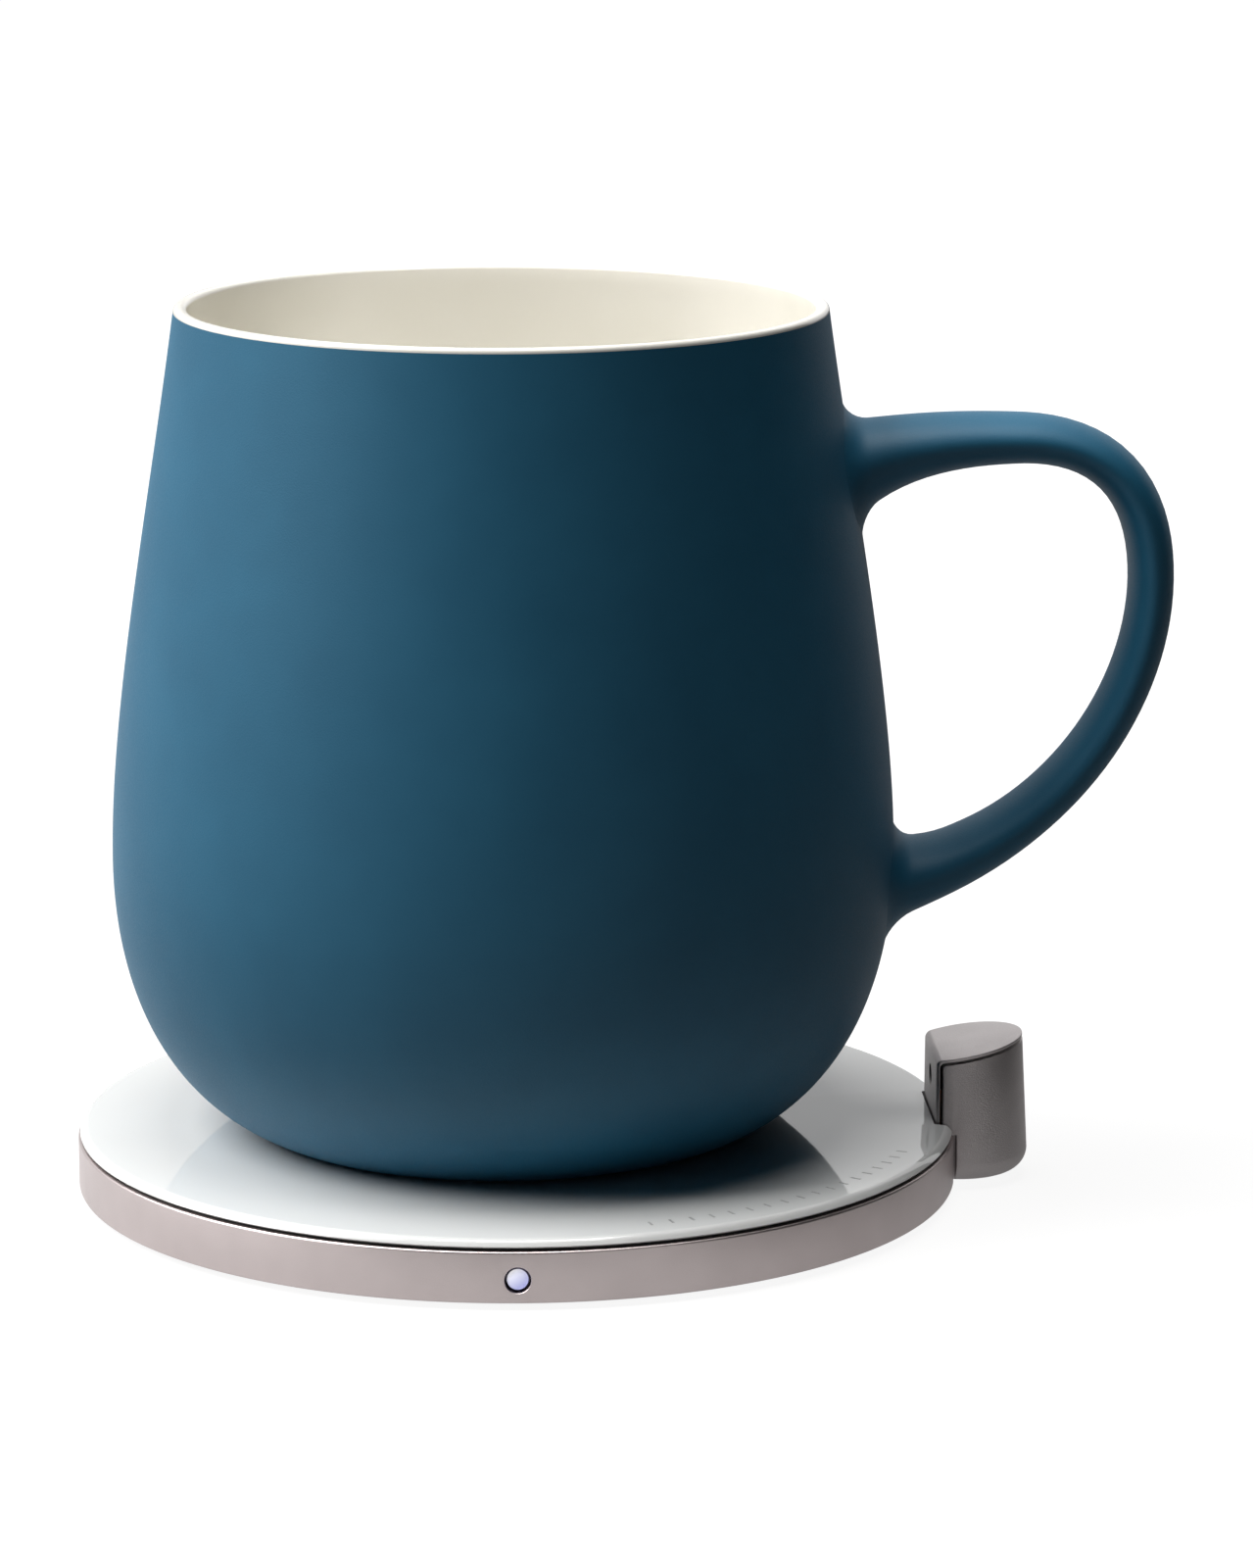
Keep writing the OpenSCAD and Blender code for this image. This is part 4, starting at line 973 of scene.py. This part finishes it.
# %% Turn the foot mat
MAT_R, MAT_TOP, MAT_EDGE, MAT_EDGE_STEPS = 48.59, 1.2, 0.25, 4
FIRST_RING_R, RING_PITCH = 8.0, 3.0
GROOVE_W, GROOVE_DEPTH, GROOVE_SLANT = 0.9, 0.25, 0.15
mat_outline = [(0, 0)]
ring_r = FIRST_RING_R
while ring_r < MAT_R - 2 * RING_PITCH:
    mat_outline += [(ring_r, 0), (ring_r + GROOVE_SLANT, GROOVE_DEPTH),
                    (ring_r + GROOVE_W - GROOVE_SLANT, GROOVE_DEPTH), (ring_r + GROOVE_W, 0)]
    ring_r += RING_PITCH
mat_outline += arc(MAT_R - MAT_EDGE, MAT_EDGE, MAT_EDGE, -90, 0, MAT_EDGE_STEPS)
mat_outline += [(MAT_R, MAT_TOP), (0, MAT_TOP)]
foot_mat = lathe("foot_mat_ringed", mat_outline)
hand_over(foot_mat, "pad", "black_rubber", "foot_mat")

# %% [markdown]
# ## The post's face and cap
#
# Face and cap are one thin bent plate: it rises flat towards the mug, turns over a soft bend and slopes up
# to the back. A dark joint separates it from the round shell. Seen from the side, both follow the same bent
# line, so one slab is cut out of another. Seen from above, the plate is a D with softly rounded corners, and
# a skin over two such rings gives the column that it is cut from.

# %% Cut the face and cap
PLATE_T, SHADOW_GAP, BEND_R, CORNER_R, FINE_EDGE = 0.4, 0.34, 0.9, 0.8, 0.1
TONGUE_Z, TONGUE_T, TONGUE_X, TONGUE_HALF = 3.3, 1.4, 43.4, 7.0
WINDOW_Z, WINDOW_R, WINDOW_GAP = 12.2, 1.1, 0.15
BEND_STEPS, CORNER_STEPS, BACK_STEPS = 10, 10, 150
SOFT_ANGLE, SOFT_SEGMENTS = math.radians(40), 2


def d_ring(z):
    """The post seen from above at a height: flat towards the mug, with rounded corners."""
    radius, flat = post_r(z), POST_X - FACE_X
    side = math.sqrt((radius - CORNER_R) ** 2 - (flat - CORNER_R) ** 2)
    turn = math.degrees(math.atan2(side, CORNER_R - flat))
    ring = arc(FACE_X + CORNER_R, side, CORNER_R, 180, turn, CORNER_STEPS)
    ring += arc(POST_X, 0, radius, turn, -turn, BACK_STEPS)[1:]
    ring += arc(FACE_X + CORNER_R, -side, CORNER_R, -turn, -180, CORNER_STEPS)[1:]
    return [(x, y, z) for x, y in ring]


def bent_slab(name, inset, low):
    """Everything behind the bent line, moved inwards by inset."""
    radius = BEND_R - inset / 2
    corner_x = FACE_X + inset
    corner_z = FACE_TOP - inset + inset * math.tan(SLOPE)
    centre_x = corner_x + radius
    centre_z = corner_z + radius * math.tan(SLOPE) - radius / math.cos(SLOPE)
    far_x = POST_X + 2 * POST_BASE_R
    outline = [(corner_x, low)]
    outline += arc(centre_x, centre_z, radius, 180, 90 + math.degrees(SLOPE), BEND_STEPS)
    outline += [(far_x, corner_z + (far_x - corner_x) * math.tan(SLOPE)), (far_x, low)]
    return slab(name, outline, 2 * POST_BASE_R)


def soften(piece, width):
    """Rounds all sharp edges a little, so that they catch the light."""
    pick(piece)
    modifier = piece.modifiers.new("soft_edges", "BEVEL")
    modifier.width = width * MM
    modifier.segments = SOFT_SEGMENTS
    modifier.limit_method = "ANGLE"
    modifier.angle_limit = SOFT_ANGLE
    modifier.use_clamp_overlap = False
    bpy.ops.object.modifier_apply(modifier=modifier.name)


post_cap = loft("post_cap", [d_ring(TONGUE_Z), d_ring(POST_TOP + SPARE)])
combine(post_cap, bent_slab("bent", 0, TONGUE_Z - SPARE), "INTERSECT")
combine(post_cap, bent_slab("core", PLATE_T, TONGUE_Z - SPARE), "DIFFERENCE")
soften(post_cap, FINE_EDGE)
tongue = block("tongue", (TONGUE_X, -TONGUE_HALF, TONGUE_Z),
               (FACE_X + PLATE_T / 2, TONGUE_HALF, TONGUE_Z + TONGUE_T))
combine(post_cap, tongue, "UNION")
window_hole = rod("window_hole", WINDOW_R + WINDOW_GAP,
                  (FACE_X - REACH, 0, WINDOW_Z), (FACE_X + REACH, 0, WINDOW_Z))
combine(post_cap, window_hole, "DIFFERENCE")
turn_to_post(post_cap)
hand_over(post_cap, "pad", "dark_taupe_metal", "post_face")

# %% [markdown]
# ## The post's shell
#
# The shell is the round part of the post. It has a large round at its foot, and its front follows the bend
# of the plate at the width of the dark joint. A narrow groove marks where each end of the rim meets it.

# %% Cut the shell
SHELL_WALL, SHELL_FLOOR, SHELL_ROUND, SHELL_EDGE = 1.4, 2.2, 2.6, 0.12
JOINT_X, JOINT_Y = (51.36, 51.68), (6.95, 9.0)
post_shell = column("post_shell_round", 0, POST_LOW, POST_TOP + SPARE, SHELL_ROUND)
for side in (-1, 1):
    low_y, high_y = sorted(side * y for y in JOINT_Y)
    joint = block("joint", (JOINT_X[0], low_y, -SPARE), (JOINT_X[1], high_y, RIM_TOP))
    combine(post_shell, joint, "DIFFERENCE")
combine(post_shell, bent_slab("behind_joint", PLATE_T + SHADOW_GAP, -SPARE), "INTERSECT")
hollow = column("hollow", -SHELL_WALL, SHELL_FLOOR, POST_TOP + SPARE)
combine(post_shell, hollow, "DIFFERENCE")
soften(post_shell, SHELL_EDGE)
turn_to_post(post_shell)
hand_over(post_shell, "pad", "dark_taupe_metal", "post_shell")

# %% [markdown]
# ## Contacts of the inlet
#
# The tongue inside the power inlet carries a row of gilded contacts. One strip is modelled, and an array
# repeats it.

# %% Lay the contact strips
CONTACT_COUNT, CONTACT_PITCH, CONTACT_W, CONTACT_T, CONTACT_LEN = 12, 0.5, 0.25, 0.03, 3.2
CONTACT_BACK, CONTACT_SUNK, CONTACT_EDGE = 0.3, 0.01, 0.02
contacts_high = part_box("inlet_contacts")[1] / MM
first_x = -CONTACT_PITCH * (CONTACT_COUNT - 1) / 2
strip_low = (first_x - CONTACT_W / 2, contacts_high.y - CONTACT_LEN, contacts_high.z - CONTACT_SUNK)
strip_high = (first_x + CONTACT_W / 2, contacts_high.y - CONTACT_BACK, contacts_high.z + CONTACT_T)
strips = block("contact_strips", strip_low, strip_high)
bevel_edges(strips, CONTACT_EDGE, 1, lambda p: p.z > contacts_high.z)
pick(strips)
row = strips.modifiers.new("row", "ARRAY")
row.count = CONTACT_COUNT
row.use_relative_offset = False
row.use_constant_offset = True
row.constant_offset_displace = (CONTACT_PITCH * MM, 0, 0)
bpy.ops.object.modifier_apply(modifier=row.name)
hand_over(strips, "pad", "bright_steel", material=contact_gold)

# %% [markdown]
# ## Ticks on the plate
#
# The plate carries a row of fine grey ticks along its edge. Each is a thin film of ink, drawn as a flat
# ribbon along a radius.

# %% Ticks along the edge
INK_LOW, INK_HIGH = PAD_TOP - 0.005, PAD_TOP + 0.012
TICK_FROM, TICK_TO, TICK_STEP, TICK_IN_R, TICK_OUT_R, TICK_W = -72, -21, 3, 47.2, 48.5, 0.28


def tick(angle):
    """Flat ribbon of ink along a radius of the plate."""
    c, s = math.cos(angle), math.sin(angle)
    wide_x, wide_y = -s * TICK_W / 2, c * TICK_W / 2
    rings = []
    for r in (TICK_IN_R, TICK_OUT_R):
        left, right = (r * c + wide_x, r * s + wide_y), (r * c - wide_x, r * s - wide_y)
        rings.append([(*left, INK_LOW), (*right, INK_LOW), (*right, INK_HIGH), (*left, INK_HIGH)])
    return loft("tick", rings)


def join(name, parts):
    """Joins several meshes to one piece."""
    start_fresh()
    for part in parts:
        part.select_set(True)
    bpy.context.view_layer.objects.active = parts[0]
    bpy.ops.object.join()
    parts[0].name = name
    return parts[0]


ticks = [tick(math.radians(angle)) for angle in range(TICK_FROM, TICK_TO + 1, TICK_STEP)]
tick_row = join("tick_row", ticks)
hand_over(tick_row, "pad", "white_plate", material=grey_ink)

# %% [markdown]
# ## The two coils
#
# Mug and pad each hold a flat coil of enamelled wire, one to send power and one to receive it. A spiral
# curve with a round bevel is the wire, and it becomes a mesh once it is wound.

# %% Wind the coils
COIL_TURNS, COIL_PITCH, WIRE_W, WIRE_H, COIL_FIRST_R, TURN_POINTS = 10, 1.25, 0.75, 1.0, 9.875, 40


def wind(name, axis_x, low_z):
    """Flat winding round an upright axis, as a mesh."""
    start_fresh()
    path = bpy.data.curves.new(name, "CURVE")
    path.dimensions = "3D"
    path.bevel_depth = WIRE_W / 2 * MM
    path.bevel_resolution = 2
    path.use_fill_caps = True
    spline = path.splines.new("POLY")
    spline.points.add(COIL_TURNS * TURN_POINTS)
    for i, point in enumerate(spline.points):
        radius = (COIL_FIRST_R + COIL_PITCH * i / TURN_POINTS) * MM
        angle = 2 * math.pi * i / TURN_POINTS
        point.co = (radius * math.cos(angle), radius * math.sin(angle), 0, 1)
    coil = bpy.data.objects.new(name, path)
    scene.collection.objects.link(coil)
    pick(coil)
    bpy.ops.object.convert(target="MESH")
    coil = bpy.context.object
    coil.scale.z = WIRE_H / WIRE_W
    coil.location = (axis_x * MM, 0, (low_z + WIRE_H / 2) * MM)
    bpy.ops.object.transform_apply()
    return close_skin(coil)


for name, node, body, axis_x in (("receiver_winding", "receiver_coil", "mug", MUG_X),
                                 ("transmitter_winding", "transmitter_coil", "pad", 0.0)):
    coil = wind(name, axis_x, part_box(node)[0].z / MM)
    hand_over(coil, body, "copper", node)

# %% [markdown]
# ## Finishes for the other solids
#
# The pieces inside the pad and the mug already have the right shape. They keep it, and each takes the
# finish of its slot from the record.

# %% Dress the solids
replaced = {node for piece in pieces for node in piece.get("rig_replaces", [])}
dressed = 0
for part in frame["record"]["subparts"]:
    solid = nodes[part["node"]]
    solid.data.materials.clear()
    solid.data.materials.append(finish[part["material_slot"]])
    dressed += part["node"] not in replaced
print(dressed, "solids dressed,", len(replaced), "replaced")

# %% [markdown]
# ## Last look
#
# The view transform stays plain, so that a colour renders about as it is written.

# %% Set the view transform
scene.view_settings.view_transform = "Standard"
start_fresh()
